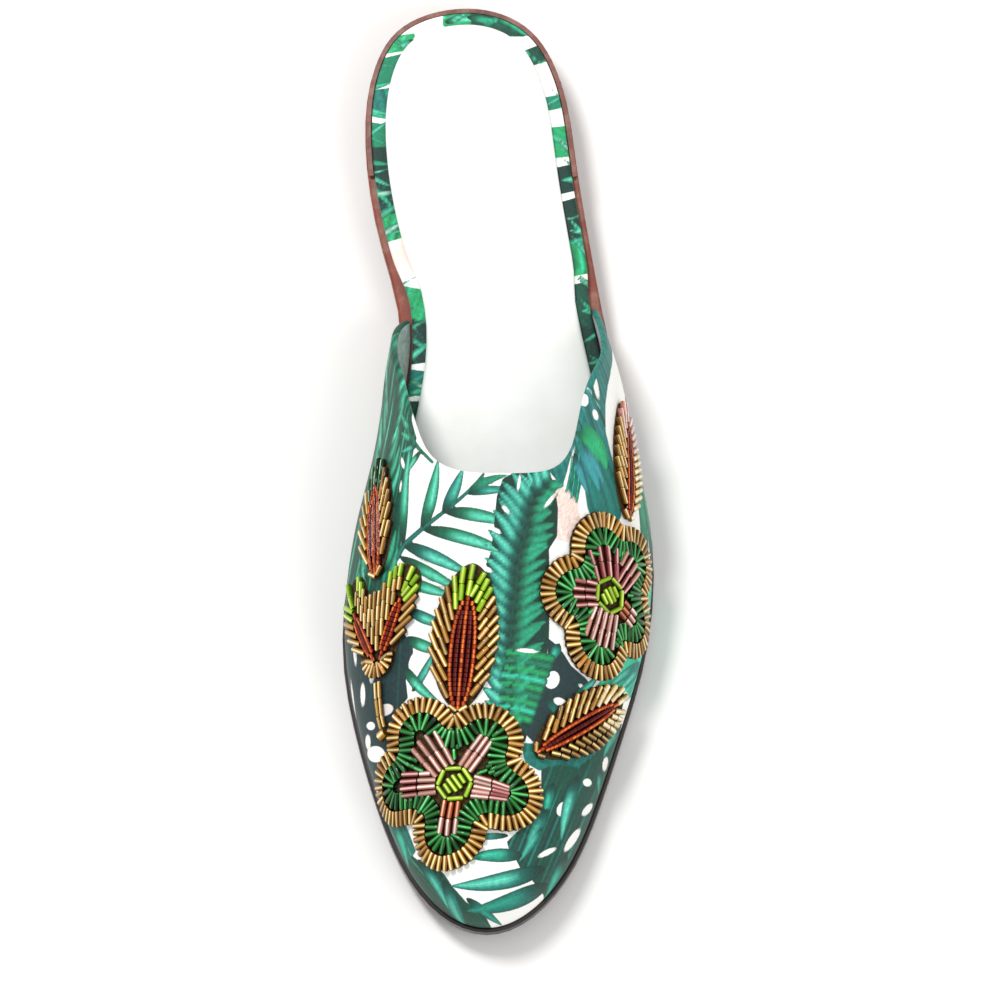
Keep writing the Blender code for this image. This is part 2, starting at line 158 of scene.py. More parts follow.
# Share of the length, crest height, crest place, swell and fall of the medial and lateral sides
sectionTable = np.array([
    (0.000, 0.000, 0.500, 0.00, 0.00, 0.94, 0.94), (0.020, 0.255, 0.500, 0.05, 0.05, 0.94, 0.94),
    (0.080, 0.415, 0.490, 0.15, 0.15, 0.94, 0.94), (0.160, 0.515, 0.480, 0.25, 0.25, 0.95, 0.95),
    (0.240, 0.620, 0.470, 0.30, 0.35, 0.97, 0.97), (0.320, 0.755, 0.460, 0.40, 0.45, 0.99, 1.00),
    (0.400, 0.915, 0.460, 0.60, 0.50, 1.00, 1.02), (0.445, 1.000, 0.465, 0.75, 0.52, 1.00, 1.05),
    (0.520, 1.095, 0.475, 1.00, 0.62, 1.00, 1.18), (0.600, 1.190, 0.485, 1.60, 0.60, 1.00, 1.28),
    (0.640, 1.230, 0.490, 1.25, 0.25, 1.00, 1.28), (0.700, 1.270, 0.500, 0.30, 0.00, 1.00, 1.25),
])  # fmt: skip
# How far round the section from the medial foot, then the share of the length
toplineTable = np.array([
    (0.000, 0.662), (0.060, 0.637), (0.110, 0.606), (0.160, 0.575), (0.210, 0.538), (0.260, 0.506),
    (0.300, 0.483), (0.350, 0.463), (0.430, 0.448), (0.510, 0.445), (0.590, 0.448), (0.650, 0.460),
    (0.700, 0.490), (0.745, 0.534), (0.790, 0.567), (0.860, 0.602), (0.930, 0.642), (1.000, 0.676),
])  # fmt: skip

sideShare = {
    -1: spline(turnAt(outlineTable[:, 0]), outlineTable[:, 1]),
    1: spline(turnAt(outlineTable[:, 0]), outlineTable[:, 2]),
}
sectionNames = ("height", "crest", "medialSwell", "lateralSwell", "medialFall", "lateralFall")
section = {
    name: spline(turnAt(sectionTable[:, 0]), sectionTable[:, i + 1]) for i, name in enumerate(sectionNames)
}
toplineShare = spline(toplineTable[:, 0], toplineTable[:, 1])


def insetPoint(turn, side, inset):  # a point of the sole's outline moved inwards, square to the outline
    step = 1e-4
    before, after = np.clip(turn - step, 0, math.pi), np.clip(turn + step, 0, math.pi)
    run = side * last["ballWidth"] * (sideShare[side](after) - sideShare[side](before)) / (after - before)
    along = np.stack([run, last["length"] / 2 * np.sin(turn)], -1)
    along /= np.linalg.norm(along, axis=-1, keepdims=True)
    place = np.stack([side * sideShare[side](turn) * last["ballWidth"], -last["length"] / 2 * np.cos(turn)], -1)
    inward = np.stack([-side * along[..., 1], side * along[..., 0]], -1)
    return place + inward * np.asarray(inset)[..., None]


def shareOf(y):
    return y / last["length"] + 0.5


def soleBottom(y):
    share = shareOf(y)
    toe = last["toeSpring"] * np.clip((0.245 - share) / 0.245, 0, 1) ** 2.2
    return toe + last["heelHeight"] * smoothStep((share - 0.400) / 0.400)


def boardTop(y):
    return soleBottom(y) + last["soleThickness"] + last["gap"] + last["boardThickness"]


def vampSurface(turn, around):  # around runs from 0 at the medial foot over the crest to pi
    turn, around = np.broadcast_arrays(turn, around)
    foot = [insetPoint(turn, side, last["ledge"]) for side in (-1, 1)]
    crest = foot[0] + (foot[1] - foot[0]) * section["crest"](turn)[..., None]
    lateral = around > math.pi / 2
    lean = np.where(lateral, math.pi - around, around)
    fall = np.where(lateral, section["lateralFall"](turn), section["medialFall"](turn))
    swell = np.where(lateral, section["lateralSwell"](turn), section["medialSwell"](turn))
    nearest = np.where(lateral[..., None], foot[1], foot[0])
    reach = np.clip(np.cos(lean), 0, 1) ** fall
    rise = section["height"](turn) * last["instep"] * np.sin(lean)
    level = rise / last["bulgeLevel"]
    bulge = last["bulge"] * swell * level * np.exp(1 - level) * np.cos(lean)
    place = crest + (nearest - crest) * reach[..., None]
    x = place[..., 0] + np.where(lateral, bulge, -bulge)
    y = place[..., 1]
    feather = soleBottom(y) + last["soleThickness"] + last["gap"]
    return np.stack([x, y, feather + rise], -1)


def vampNormal(turn, around):
    step = 1e-3
    turn = np.maximum(turn, 2 * step)
    along = vampSurface(turn + step, around) - vampSurface(turn - step, around)
    across = vampSurface(turn, around + step) - vampSurface(turn, around - step)
    normal = np.cross(across, along)
    return normal / np.linalg.norm(normal, axis=-1, keepdims=True)


# The vamp laid out flat, in millimetres: girth from the crest, and length from the toe tip
flatTurns = np.linspace(0.002, float(turnAt(0.698)), 220)
flatAround = np.linspace(0, math.pi, 181)
flatPoints = vampSurface(flatTurns[:, None], flatAround[None, :]) * 1000
flatGirth = np.concatenate(
    [np.zeros((220, 1)), np.cumsum(np.linalg.norm(np.diff(flatPoints, axis=1), axis=2), axis=1)], axis=1
)
flatGirth -= flatGirth[:, [90]]
crestSteps = np.linalg.norm(np.diff(flatPoints[:, 90], axis=0), axis=1)
flatLengths = np.concatenate([[0], np.cumsum(crestSteps)])


def placeOnVamp(girth, length):  # the two angles of points of the flat pattern
    turn = np.interp(length, flatLengths, flatTurns)
    row = np.interp(length, flatLengths, np.arange(len(flatTurns)))
    low = np.clip(row.astype(int), 0, len(flatTurns) - 2)
    share = (row - low)[:, None]
    rows = flatGirth[low] * (1 - share) + flatGirth[low + 1] * share
    around = np.array([np.interp(g, r, flatAround) for g, r in zip(girth, rows, strict=True)])
    return turn, around


def onVamp(girth, length, lift):
    turn, around = placeOnVamp(np.asarray(girth, float), np.asarray(length, float))
    normal = vampNormal(turn, around)
    return vampSurface(turn, around) + normal * np.asarray(lift)[..., None] / 1000, normal


# Printed cloth of the vamp

cloth = {
    "columns": 340,  # grid cells round the section; each is about a thread or two wide
    "rows": 260,
    "liningEvery": 5,  # the lining's grid is coarser by this number
    "foldRows": 7,
    "foldRadius": last["wall"] / 2,
    "seed": 7,
}

# Soft troughs of the cloth: two ends, each as its share round the section from the medial foot and
# its share of the length, then the half width and the depth in millimetres
creases = (
    ((0.10, 0.560), (0.17, 0.440), 3.2, 0.34), ((0.05, 0.600), (0.09, 0.500), 2.6, 0.24),
    ((0.22, 0.470), (0.30, 0.400), 3.0, 0.22), ((0.90, 0.600), (0.84, 0.480), 3.2, 0.32),
    ((0.74, 0.470), (0.68, 0.410), 2.8, 0.20), ((0.38, 0.408), (0.60, 0.402), 4.0, 0.16),
)  # fmt: skip

# Inks of the print
inks = {
    "ground": "#fdfdf8",
    "blush": "#f6ddd2",
    "slate": "#21383a",
    "deep": "#12392f",
    "dark": "#17503f",
    "leaf": "#1f8460",
    "teal": "#1f7c70",
    "blue": "#3f8fa0",
    "emerald": "#22a864",
    "bright": "#37d0a4",
    "mint": "#7df3d8",
    "pale": "#c9f3e2",
}
ink = {name: np.array(hexColour(code)[:3]) for name, code in inks.items()}


def mixInk(a, b, share):
    share = np.clip(np.asarray(share, float), 0, 1)[..., None]
    return a * (1 - share) + b * share


def strokes(x, y, angle, pitch, seed, sway=0.25):  # soft brush lines that run along the angle, 0 to 1
    rng = np.random.default_rng(seed)
    c, s = math.cos(math.radians(angle)), math.sin(math.radians(angle))
    across, along = -s * x + c * y, c * x + s * y
    total = np.zeros_like(x)
    for k in range(5):
        scale = pitch * (0.6 + 0.45 * k)
        phase = rng.uniform(0, 6.28, 3)
        wave = across / scale * 6.28 + sway * 6 * np.sin(along / (pitch * 7) + phase[1]) + phase[0]
        total += np.sin(wave) * (0.6 + 0.4 * np.sin(along / (pitch * 4) + phase[2])) / (1 + 0.4 * k)
    return np.clip(0.5 + total / 4.2, 0, 1)


printLayers = ("ground", "blades", "middle", "fronds")


class PrintPainter:
    # Paints flat shapes on the points of the cloth. Each layer keeps how far a point lies inside
    # its shapes, which the material turns into a crisp edge, and the ink there

    def __init__(self, x, y):
        self.x, self.y = x, y
        self.layers = {}
        for name in printLayers:
            self.layers[name] = {"edge": np.full(len(x), -30.0), "ink": np.tile(ink["leaf"], (len(x), 1))}

    def put(self, layer, chosen, edge, colours):
        kept = self.layers[layer]
        better = edge > kept["edge"][chosen]
        where = np.flatnonzero(chosen)[better]
        kept["edge"][where] = edge[better]
        kept["ink"][where] = colours[better]

    def nearBox(self, points, margin):
        low, high = points.min(axis=0) - margin, points.max(axis=0) + margin
        return (self.x > low[0]) & (self.x < high[0]) & (self.y > low[1]) & (self.y < high[1])

    def alongLine(self, line, chosen):
        # Share of the way along the line, and the signed distance from it
        px, py = self.x[chosen], self.y[chosen]
        lengths = np.linalg.norm(np.diff(line, axis=0), axis=1)
        starts = np.concatenate([[0], np.cumsum(lengths)])
        best = np.full(len(px), 1e9)
        along, offset = np.zeros(len(px)), np.zeros(len(px))
        for i, (a, b) in enumerate(zip(line, line[1:], strict=False)):
            run = b - a
            t = np.clip(((px - a[0]) * run[0] + (py - a[1]) * run[1]) / (run @ run), 0, 1)
            dx, dy = px - a[0] - t * run[0], py - a[1] - t * run[1]
            distance = np.hypot(dx, dy)
            side = np.sign(run[0] * dy - run[1] * dx)
            closer = distance < best
            best[closer] = distance[closer]
            along[closer] = ((starts[i] + t * lengths[i]) / starts[-1])[closer]
            offset[closer] = (side * distance)[closer]
        return along, offset

    def blade(self, layer, base, tip, width, bow=0.0, glow=0.8, colour="leaf", shine="mint", dark="dark", seed=0):
        base, tip = np.array(base, float), np.array(tip, float)
        run = tip - base
        middle = (base + tip) / 2 + bow * np.array([-run[1], run[0]])
        t = np.linspace(0, 1, 11)[:, None]
        line = base * (1 - t) ** 2 + 2 * middle * t * (1 - t) + tip * t**2
        chosen = self.nearBox(line, width + 6)
        if not chosen.any():
            return
        along, offset = self.alongLine(line, chosen)
        half = width / 2 * np.sin(math.pi * np.clip(along, 0, 1) ** 0.72) ** 0.75
        edge = half - np.abs(offset)
        across = offset / np.maximum(half, 0.3)
        body = mixInk(ink[dark], ink[colour], smoothStep((along - 0.02) / 0.45))
        streak = np.exp(-(((across - 0.12) / 0.42) ** 2)) * smoothStep((along - 0.22) / 0.25)
        streak *= smoothStep((1.03 - along) / 0.2)
        grain = strokes(along * 40, across * 5, 0, 3.0, seed)
        body = mixInk(body, ink["bright"], 0.55 * streak * glow)
        body = mixInk(body, ink[shine], glow * streak * (0.25 + 0.75 * grain))
        body = mixInk(body, ink[dark], 0.65 * smoothStep((np.abs(across) - 0.62) / 0.35))
        self.put(layer, chosen, edge, body)

    def stem(self, layer, points, wide, narrow, colour="teal"):
        line = np.array(points, float)
        chosen = self.nearBox(line, wide + 4)
        if not chosen.any():
            return
        along, offset = self.alongLine(line, chosen)
        half = (wide + (narrow - wide) * along) / 2
        edge = half - np.abs(offset)
        body = mixInk(ink["dark"], ink[colour], smoothStep(1 - np.abs(offset) / np.maximum(half, 0.3)))
        self.put(layer, chosen, edge + 0.4, body)

    def patch(self, points, colours, angle, pitch, seed=0, layer="ground", lift=0.0):
        corners = np.array(points, float)
        chosen = self.nearBox(corners, 6)
        px, py = self.x[chosen], self.y[chosen]
        inside = np.zeros(len(px), bool)
        nearest = np.full(len(px), 1e9)
        for a, b in zip(corners, np.roll(corners, -1, axis=0), strict=True):
            run = b - a
            t = np.clip(((px - a[0]) * run[0] + (py - a[1]) * run[1]) / max(run @ run, 1e-9), 0, 1)
            nearest = np.minimum(nearest, np.hypot(px - a[0] - t * run[0], py - a[1] - t * run[1]))
            if a[1] != b[1]:
                crosses = (a[1] > py) != (b[1] > py)
                inside ^= crosses & (px < (b[0] - a[0]) * (py - a[1]) / (b[1] - a[1]) + a[0])
        edge = np.where(inside, nearest, -nearest)
        tone = strokes(px, py, angle, pitch, seed)
        low, middle, high = (ink[name] for name in colours)
        body = mixInk(mixInk(low, middle, smoothStep(tone / 0.6)), high, smoothStep((tone - 0.6) / 0.4))
        self.put(layer, chosen, edge + lift, body)

    def hole(self, centre, half, angle=0.0, layer="ground"):
        # An oval that shows the bare ground; the angle is from the row towards the column
        kept = self.layers[layer]
        c, s = math.cos(math.radians(angle)), math.sin(math.radians(angle))
        dx, dy = self.x - centre[0], self.y - centre[1]
        u, v = (c * dx + s * dy) / half[0], (-s * dx + c * dy) / half[1]
        inside = (1 - np.hypot(u, v)) * min(half)
        kept["edge"] = np.minimum(kept["edge"], -inside)

    def frond(self, rib, pitch, angle, lengths, width, sides=(-1, 1), layer="fronds", seed=1, **looks):
        # Leaflets on both sides of a rib, leaning towards its tip
        line = np.array(rib, float)
        steps = np.linalg.norm(np.diff(line, axis=0), axis=1)
        run = np.concatenate([[0], np.cumsum(steps)])
        rng = np.random.default_rng(seed)
        count = int(run[-1] / pitch)
        for i in range(count + 1):
            share = i / max(count, 1)
            at = share * run[-1]
            place = np.array([np.interp(at, run, line[:, k]) for k in (0, 1)])
            ahead = np.array([np.interp(min(at + 3, run[-1]), run, line[:, k]) for k in (0, 1)])
            behind = np.array([np.interp(max(at - 3, 0), run, line[:, k]) for k in (0, 1)])
            way = math.atan2(ahead[1] - behind[1], ahead[0] - behind[0])
            for side in sides:
                lean = way + side * math.radians(angle + rng.uniform(-4, 4))
                reach = np.interp(share, np.linspace(0, 1, len(lengths)), lengths) * rng.uniform(0.92, 1.06)
                tip = place + reach * np.array([math.cos(lean), math.sin(lean)])
                glow = looks.get("glow", 0.7) * rng.uniform(0.5, 1.2)
                self.blade(
                    layer, place, tip, width * rng.uniform(0.9, 1.1), -0.10 * side, min(glow, 1),
                    looks.get("colour", "leaf"), looks.get("shine", "mint"), looks.get("dark", "dark"), i * 3 + side + 1,
                )  # fmt: skip
        self.stem(layer, rib, 3.4, 1.6, "dark")


def paintVamp(x, y):
    # The leaves are laid out as they lie on the shoe, in the plan's units of about a quarter millimetre:
    # x grows to the lateral side and y towards the toe
    paint = PrintPainter(x, y)

    # Long dark leaf down the medial side
    paint.patch(
        [(500, 290), (588, 300), (604, 330), (598, 370), (602, 400), (606, 424), (614, 442), (611, 455),
         (607, 480), (603, 505), (601, 530), (599, 548), (595, 566), (602, 592), (598, 640), (560, 640),
         (480, 600)],
        ("deep", "dark", "bright"), 98, 7, 1,
    )  # fmt: skip
    paint.patch(
        [(480, 600), (600, 632), (611, 650), (612, 664), (604, 682), (606, 700), (596, 712), (591, 740),
         (590, 760), (580, 784), (566, 800), (480, 780)],
        ("slate", "slate", "teal"), 94, 9, 2,
    )  # fmt: skip
    # Broad leaf on the lateral side
    paint.patch(
        [(776, 280), (940, 280), (940, 330), (870, 342), (842, 358), (828, 374), (820, 390), (815, 408), (811, 436), (814, 470), (818, 520),
         (806, 540), (792, 530), (784, 512), (780, 484), (776, 508), (764, 494), (766, 470), (759, 491),
         (740, 468), (772, 440), (780, 400)],
        ("slate", "teal", "blue"), 74, 7, 3,
    )  # fmt: skip
    paint.patch(
        [(834, 424), (850, 400), (940, 392), (940, 560), (852, 600), (850, 560), (846, 510), (840, 470)],
        ("deep", "dark", "leaf"), 84, 6, 4,
    )  # fmt: skip
    paint.patch(
        [(846, 590), (940, 556), (940, 720), (846, 716), (836, 706), (822, 694), (806, 708), (786, 700),
         (796, 684), (808, 668), (826, 656), (842, 640)],
        ("teal", "bright", "mint"), 118, 7, 5,
    )  # fmt: skip
    paint.patch([(748, 486), (762, 492), (774, 506), (778, 528), (766, 546), (752, 542)],
                ("blush", "blush", "ground"), 70, 12, 18)  # fmt: skip
    # Dark leaf with holes between the flowers
    paint.patch(
        [(742, 638), (752, 646), (760, 655), (768, 668), (782, 680), (794, 694), (802, 712), (790, 728),
         (766, 744), (735, 748), (716, 730), (722, 712), (740, 692), (746, 664)],
        ("slate", "slate", "deep"), 60, 9, 6,
    )  # fmt: skip
    # Leaf with slits on the lateral toe
    paint.patch(
        [(738, 768), (758, 764), (775, 768), (790, 756), (806, 742), (840, 716), (900, 700), (900, 800),
         (832, 860), (790, 930), (760, 930), (748, 908), (738, 892), (727, 878), (717, 868), (712, 858),
         (706, 850), (704, 842), (712, 834), (724, 824), (734, 812), (738, 800)],
        ("slate", "dark", "teal"), 112, 8, 7,
    )  # fmt: skip
    paint.patch(
        [(718, 744), (742, 746), (766, 742), (792, 730), (806, 722), (806, 742), (790, 758), (775, 770), (758, 767),
         (736, 772), (722, 764)],
        ("deep", "teal", "bright"), 104, 7, 17,
    )  # fmt: skip
    # Long leaf round the medial toe
    paint.patch(
        [(500, 780), (582, 800), (590, 812), (598, 836), (604, 852), (618, 862), (632, 866), (642, 874),
         (650, 886), (664, 902), (682, 914), (690, 930), (676, 960), (600, 960), (500, 880)],
        ("deep", "dark", "leaf"), 50, 6, 8,
    )  # fmt: skip
    paint.patch(
        [(540, 800), (584, 802), (596, 812), (606, 830), (614, 852), (606, 864), (592, 858), (578, 838)],
        ("dark", "teal", "bright"), 62, 7, 9,
    )  # fmt: skip

    for centre, half, angle in (
        ((790, 404), (5.6, 6.4), 0), ((802.5, 419), (3.2, 5.4), -15), ((806, 390), (2.8, 13), -8),
        ((766.5, 471), (1.5, 17), 14), ((777.5, 498), (1.5, 15), 10), ((749, 682), (7.2, 8.8), 20),
        ((777.5, 688), (3.0, 1.8), 35), ((757, 704), (7.0, 4.0), 24), ((783, 699), (2.6, 6.4), 28),
        ((784, 784), (4.4, 3.8), 20), ((759, 810), (5.0, 7.2), 24), ((784, 811), (3.2, 7.4), 40),
        ((769, 841), (3.6, 13.0), 34), ((744, 853), (9.4, 2.6), -26), ((802, 766), (2.8, 7.0), 8),
        ((569, 728), (4.2, 4.0), 0), ((574, 756), (9.0, 8.0), 0), ((561, 697), (2.3, 11), 0),
        ((570, 676), (2.8, 9), 3), ((549, 702), (1.5, 17), -4), ((612, 664), (4.6, 10), 16),
        ((599, 467), (1.8, 6), -22), ((598, 490), (1.2, 5), 6), ((553, 655), (1.6, 12), -4),
        ((583, 712), (8.6, 5.6), -20), ((579, 802), (4.4, 8.6), -28), ((566, 744), (2.6, 7), 0),
    ):  # fmt: skip
        paint.hole(centre, half, angle)

    # Bright and blue parts of the lateral leaf
    for base, tip, width, bow, colour, dark in (
        ((784, 428), (806, 474), 15, -0.22, "emerald", "leaf"), ((774, 436), (800, 466), 10, -0.25, "emerald", "dark"),
        ((774, 446), (797, 496), 12, -0.12, "blue", "teal"), ((780, 446), (802, 490), 8, -0.15, "blue", "dark"),
        ((771, 456), (786, 500), 8, 0.05, "blue", "deep"),
    ):  # fmt: skip
        paint.blade("blades", base, tip, width, bow, 0.3, colour, "bright", dark, int(base[0]))
    paint.patch([(788, 360), (800, 340), (816, 352), (812, 376), (804, 392), (792, 396), (784, 384)],
                ("slate", "teal", "blue"), 80, 8, 16, "blades", -1.2)  # fmt: skip
    paint.stem("blades", [(789, 384), (799, 396), (809, 413)], 1.5, 1.3, "pale")
    for x0, y0, x1, y1 in ((772, 462, 768, 502), (776, 456, 773, 506), (769, 460, 763, 496)):
        paint.stem("blades", [(x0, y0), ((x0 + x1) / 2 + 1, (y0 + y1) / 2), (x1, y1)], 1.0, 1.6, "bright")

    # Veins of the dark leaf down the lateral side
    for i in range(9):
        start = (842 + 11 * i, 590 - 9 * (i % 3))
        paint.blade("blades", start, (start[0] - 9 + i, 424 + 5 * i), 11, 0.05, 0.2 + 0.22 * (i % 3), "leaf", "bright", "deep", 140 + i)
    # Open frond that rises from the medial side
    paint.stem("blades", [(594, 562), (602, 548), (620, 532), (642, 515), (657, 503), (670, 491), (681, 478)], 5.0, 2.2)
    paint.stem("blades", [(596, 424), (606, 440), (618, 454), (630, 466)], 4.6, 2.4, "leaf")
    openFrond = (
        ((620, 534), (636, 462), 12.5, 0.05, 0.85), ((641, 517), (661, 471), 12.0, 0.04, 0.45),
        ((664, 498), (706, 479), 9.0, -0.16, 0.1), ((601, 550), (607, 446), 9.0, -0.03, 0.9),
        ((664, 497), (714, 493), 9.0, -0.06, 0.4), ((642, 515), (716, 530), 13.5, -0.08, 1.0),
        ((620, 532), (714, 560), 14.0, -0.07, 1.0), ((600, 547), (672, 580), 14.0, -0.04, 0.95),
        ((598, 560), (664, 596), 12.0, 0.0, 0.9), ((602, 582), (652, 598), 12.0, 0.06, 0.9),
        ((606, 612), (648, 628), 12.0, 0.10, 0.95), ((604, 640), (644, 654), 12.5, 0.10, 1.0),
        ((602, 668), (640, 706), 11.0, 0.16, 1.0), ((610, 694), (634, 650), 8.0, 0.05, 0.7),
        ((606, 438), (590, 418), 7.0, 0.0, 0.7), ((610, 446), (592, 436), 6.0, 0.0, 0.8),
        ((614, 450), (596, 456), 6.0, 0.0, 0.9), ((618, 456), (606, 476), 6.0, 0.1, 0.9),
    )  # fmt: skip
    for i, (base, tip, width, bow, glow) in enumerate(openFrond):
        paint.blade("blades", base, tip, width, bow, glow, "teal" if i % 3 == 1 else "leaf", "mint", "deep", i)
    # Fine leaflets along the medial side
    for i in range(16):
        y0 = 612 - i * 17
        x0 = 578 + 4 * math.sin(i * 1.3)
        paint.blade(
            "blades", (x0, y0), (x0 + 14, y0 - 46), 7.5, 0.06, 0.40 + 0.55 * (i % 3 == 0), "leaf", "mint", "deep", 70 + i
        )
        paint.blade(
            "blades", (x0 - 16, y0 + 8), (x0 - 24, y0 - 40), 7.5, -0.06, 0.35 + 0.5 * (i % 4 == 1), "leaf", "mint",
            "deep", 90 + i,
        )  # fmt: skip
    # Leaflets that end in the white of the toe
    toeFrond = (
        ((720, 856), (664, 858), 14.0, 0.05, 0.8), ((742, 868), (648, 886), 18.0, -0.10, 0.9),
        ((744, 884), (664, 911), 18.0, -0.12, 0.35), ((706, 836), (660, 838), 7.0, 0.0, 0.2),
        ((750, 784), (742, 822), 10.0, 0.06, 1.0), ((775, 776), (758, 842), 12.5, 0.06, 1.0),
        ((797, 770), (797, 798), 4.4, 0.1, 0.6), ((746, 806), (722, 856), 13.0, 0.05, 0.35),
        ((588, 816), (606, 870), 9.0, -0.1, 0.9), ((642, 880), (666, 932), 13.0, 0.1, 0.5),
        ((664, 898), (700, 926), 9.0, 0.0, 0.3), ((616, 860), (648, 912), 10.0, -0.08, 0.6),
        ((764, 856), (742, 906), 10.0, 0.05, 0.6), ((740, 822), (716, 862), 10.0, -0.05, 0.5),
        ((820, 726), (800, 760), 8.0, 0.1, 0.7), ((828, 742), (806, 800), 9.0, 0.05, 0.5),
        ((756, 646), (748, 664), 10.0, 0.0, 0.9), ((770, 700), (796, 676), 8.0, 0.1, 0.9),
        ((742, 700), (772, 726), 8.0, 0.1, 0.1),
    )  # fmt: skip
    for i, (base, tip, width, bow, glow) in enumerate(toeFrond):
        paint.blade("blades", base, tip, width, bow, glow, "teal", "mint" if i % 2 else "bright", "deep", 40 + i)
    for x0, y0, x1, y1 in ((846, 664, 806, 706), (850, 676, 822, 704), (838, 664, 798, 698), (848, 700, 834, 712)):
        paint.blade("blades", (x0, y0), (x1, y1), 8.0, 0.05, 0.9, "teal", "mint", "teal", int(x0))

    # Dense frond down the middle, with its tip at the throat
    paint.patch(
        [(700, 482), (716, 474), (746, 474), (752, 492), (755, 512), (754, 540), (746, 552), (747, 600),
         (746, 640), (742, 676), (730, 716), (722, 744), (690, 744), (690, 700), (690, 640), (680, 600),
         (682, 570), (688, 556), (690, 540), (692, 520), (694, 500)],
        ("deep", "deep", "dark"), 35, 6, 14, "middle",
    )  # fmt: skip
    middleRib = [(702, 735), (704, 700), (706, 652), (711, 604), (716, 560), (724, 532), (730, 506), (742, 490)]
    paint.frond(
        middleRib, 10.5, 50, (30, 44, 44, 42, 40, 36, 30, 20), 10.5, (1,), "fronds", 3,
        glow=0.45, shine="bright", dark="deep",
    )  # fmt: skip
    paint.frond(
        middleRib, 11.5, 48, (30, 34, 36, 40, 46, 50, 46, 24), 12.5, (-1,), "fronds", 4, glow=1.0, colour="teal",
        dark="deep",
    )  # fmt: skip
    for tip in ((711, 483), (717, 477), (724, 473), (731, 472), (738, 473), (745, 476)):
        paint.blade("fronds", (732, 495), tip, 6.0, 0.0, 1.0, "teal", "mint", "deep", tip[0])
    # The bright lower part of that frond, in narrow bands side by side
    for i in range(9):
        low, high = 654 + 7.6 * i, 661 + 7.6 * i
        middle = ((699 - 0.5 * i + 748 - 2.7 * i) / 2, (low + high) / 2 - 1.5)
        paint.stem(
            "fronds", [(699 - 0.5 * i, low), middle, (748 - 2.7 * i, high)], 8.4, 8.4,
            ("emerald", "leaf", "emerald", "bright")[i % 4],
        )  # fmt: skip
    for centre, half, angle in (
        ((724, 653), (12, 2.2), 5), ((703, 513), (6.0, 2.2), 48), ((694, 534), (5, 2.2), 30),
        ((747, 504), (10, 2.0), -50), ((690, 552), (7, 2.2), 30), ((684, 572), (7, 2.4), 25),
        ((716, 487), (1.6, 8), 8), ((686, 596), (6, 2.0), 25),
    ):  # fmt: skip
        paint.hole(centre, half, angle, "middle")
        paint.hole(centre, half, angle, "fronds")
    return paint.layers


# The border's stretches of leaf and bare ground: from row to row, slant, inks and stroke angle
borderBands = {
    "medial": (
        (40, 58, 4, ("leaf", "emerald", "mint"), 150), (62, 90, 6, ("teal", "leaf", "mint"), 160),
        (93, 118, 3, ("dark", "teal", "bright"), 70), (126, 152, -4, ("dark", "leaf", "emerald"), 80),
        (150, 222, 8, ("slate", "deep", "teal"), 120), (220, 246, 8, ("dark", "emerald", "bright"), 100),
        (289, 324, -5, ("leaf", "emerald", "bright"), 110), (323, 368, 4, ("slate", "deep", "teal"), 60),
        (374, 400, -3, ("slate", "teal", "bright"), 150), (405, 450, 0, ("deep", "dark", "leaf"), 80),
    ),
    "lateral": (
        (44, 60, -10, ("deep", "dark", "bright"), 40), (97, 111, -5, ("teal", "leaf", "mint"), 150),
        (129, 160, -3, ("teal", "emerald", "mint"), 30), (167, 194, -6, ("slate", "deep", "teal"), 30),
        (200, 240, -8, ("slate", "deep", "dark"), 60), (240, 277, -5, ("dark", "emerald", "bright"), 80),
        (284, 330, -6, ("deep", "dark", "leaf"), 50), (330, 450, 0, ("slate", "deep", "dark"), 110),
    ),
}  # fmt: skip


def paintBorder(x, y):
    # The print where it is wrapped round the insole board and shows as a narrow border
    paint = PrintPainter(x, y)
    rows = [20, 60, 110, 160, 230, 300, 370, 440]
    middles = {
        "medial": ([598, 578, 570, 570, 582, 600, 614, 620], -1),
        "lateral": ([735, 755, 764, 771, 782, 792, 797, 797], 1),
    }
    rng = np.random.default_rng(31)
    for name, (columns, way) in middles.items():
        for k, (low, high, slant, colours, angle) in enumerate(borderBands[name]):
            edges = []
            for row in np.linspace(low, high, 5):
                edges.append((np.interp(row, rows, columns) + 26 * way, row + slant))
            for row in np.linspace(high, low, 5):
                edges.append((np.interp(row, rows, columns) - 26 * way, row - slant))
            paint.patch(edges, colours, angle, rng.uniform(4, 9), 21 + k)
            for _ in range(int((high - low) / 11)):
                row, rise = rng.uniform(low + 2, high - 2), rng.uniform(-14, 22) * way
                column = np.interp(row, rows, columns)
                shine = ("mint", "bright", "mint", "pale")[rng.integers(4)]
                paint.blade(
                    "blades", (column + 18 * way, row + rise), (column - 18 * way, row - rise), rng.uniform(2.5, 9),
                    rng.uniform(-0.12, 0.12), rng.uniform(0.15, 1.0), "leaf", shine, "dark", int(row) + way + 1,
                )  # fmt: skip
    # Round the heel
    paint.patch([(640, -10), (668, -10), (670, 34), (640, 30)], ("leaf", "emerald", "mint"), 8, 6, 33)
    paint.patch([(668, -10), (735, -10), (735, 30), (722, 40), (700, 40), (666, 34)], ("deep", "dark", "leaf"), 20, 5, 34)
    for x0, y0, x1, y1, shine in (
        (642, 26, 664, 16, "mint"), (664, 20, 700, 24, "bright"), (690, 16, 722, 34, "emerald"), (676, 30, 700, 18, "leaf"),
        (612, 44, 596, 52, "mint"), (700, 20, 728, 40, "bright"),
    ):  # fmt: skip
        paint.blade("blades", (x0, y0), (x1, y1), 7.0, 0.06, 0.8, "leaf", shine, "deep", x0)
    return paint.layers


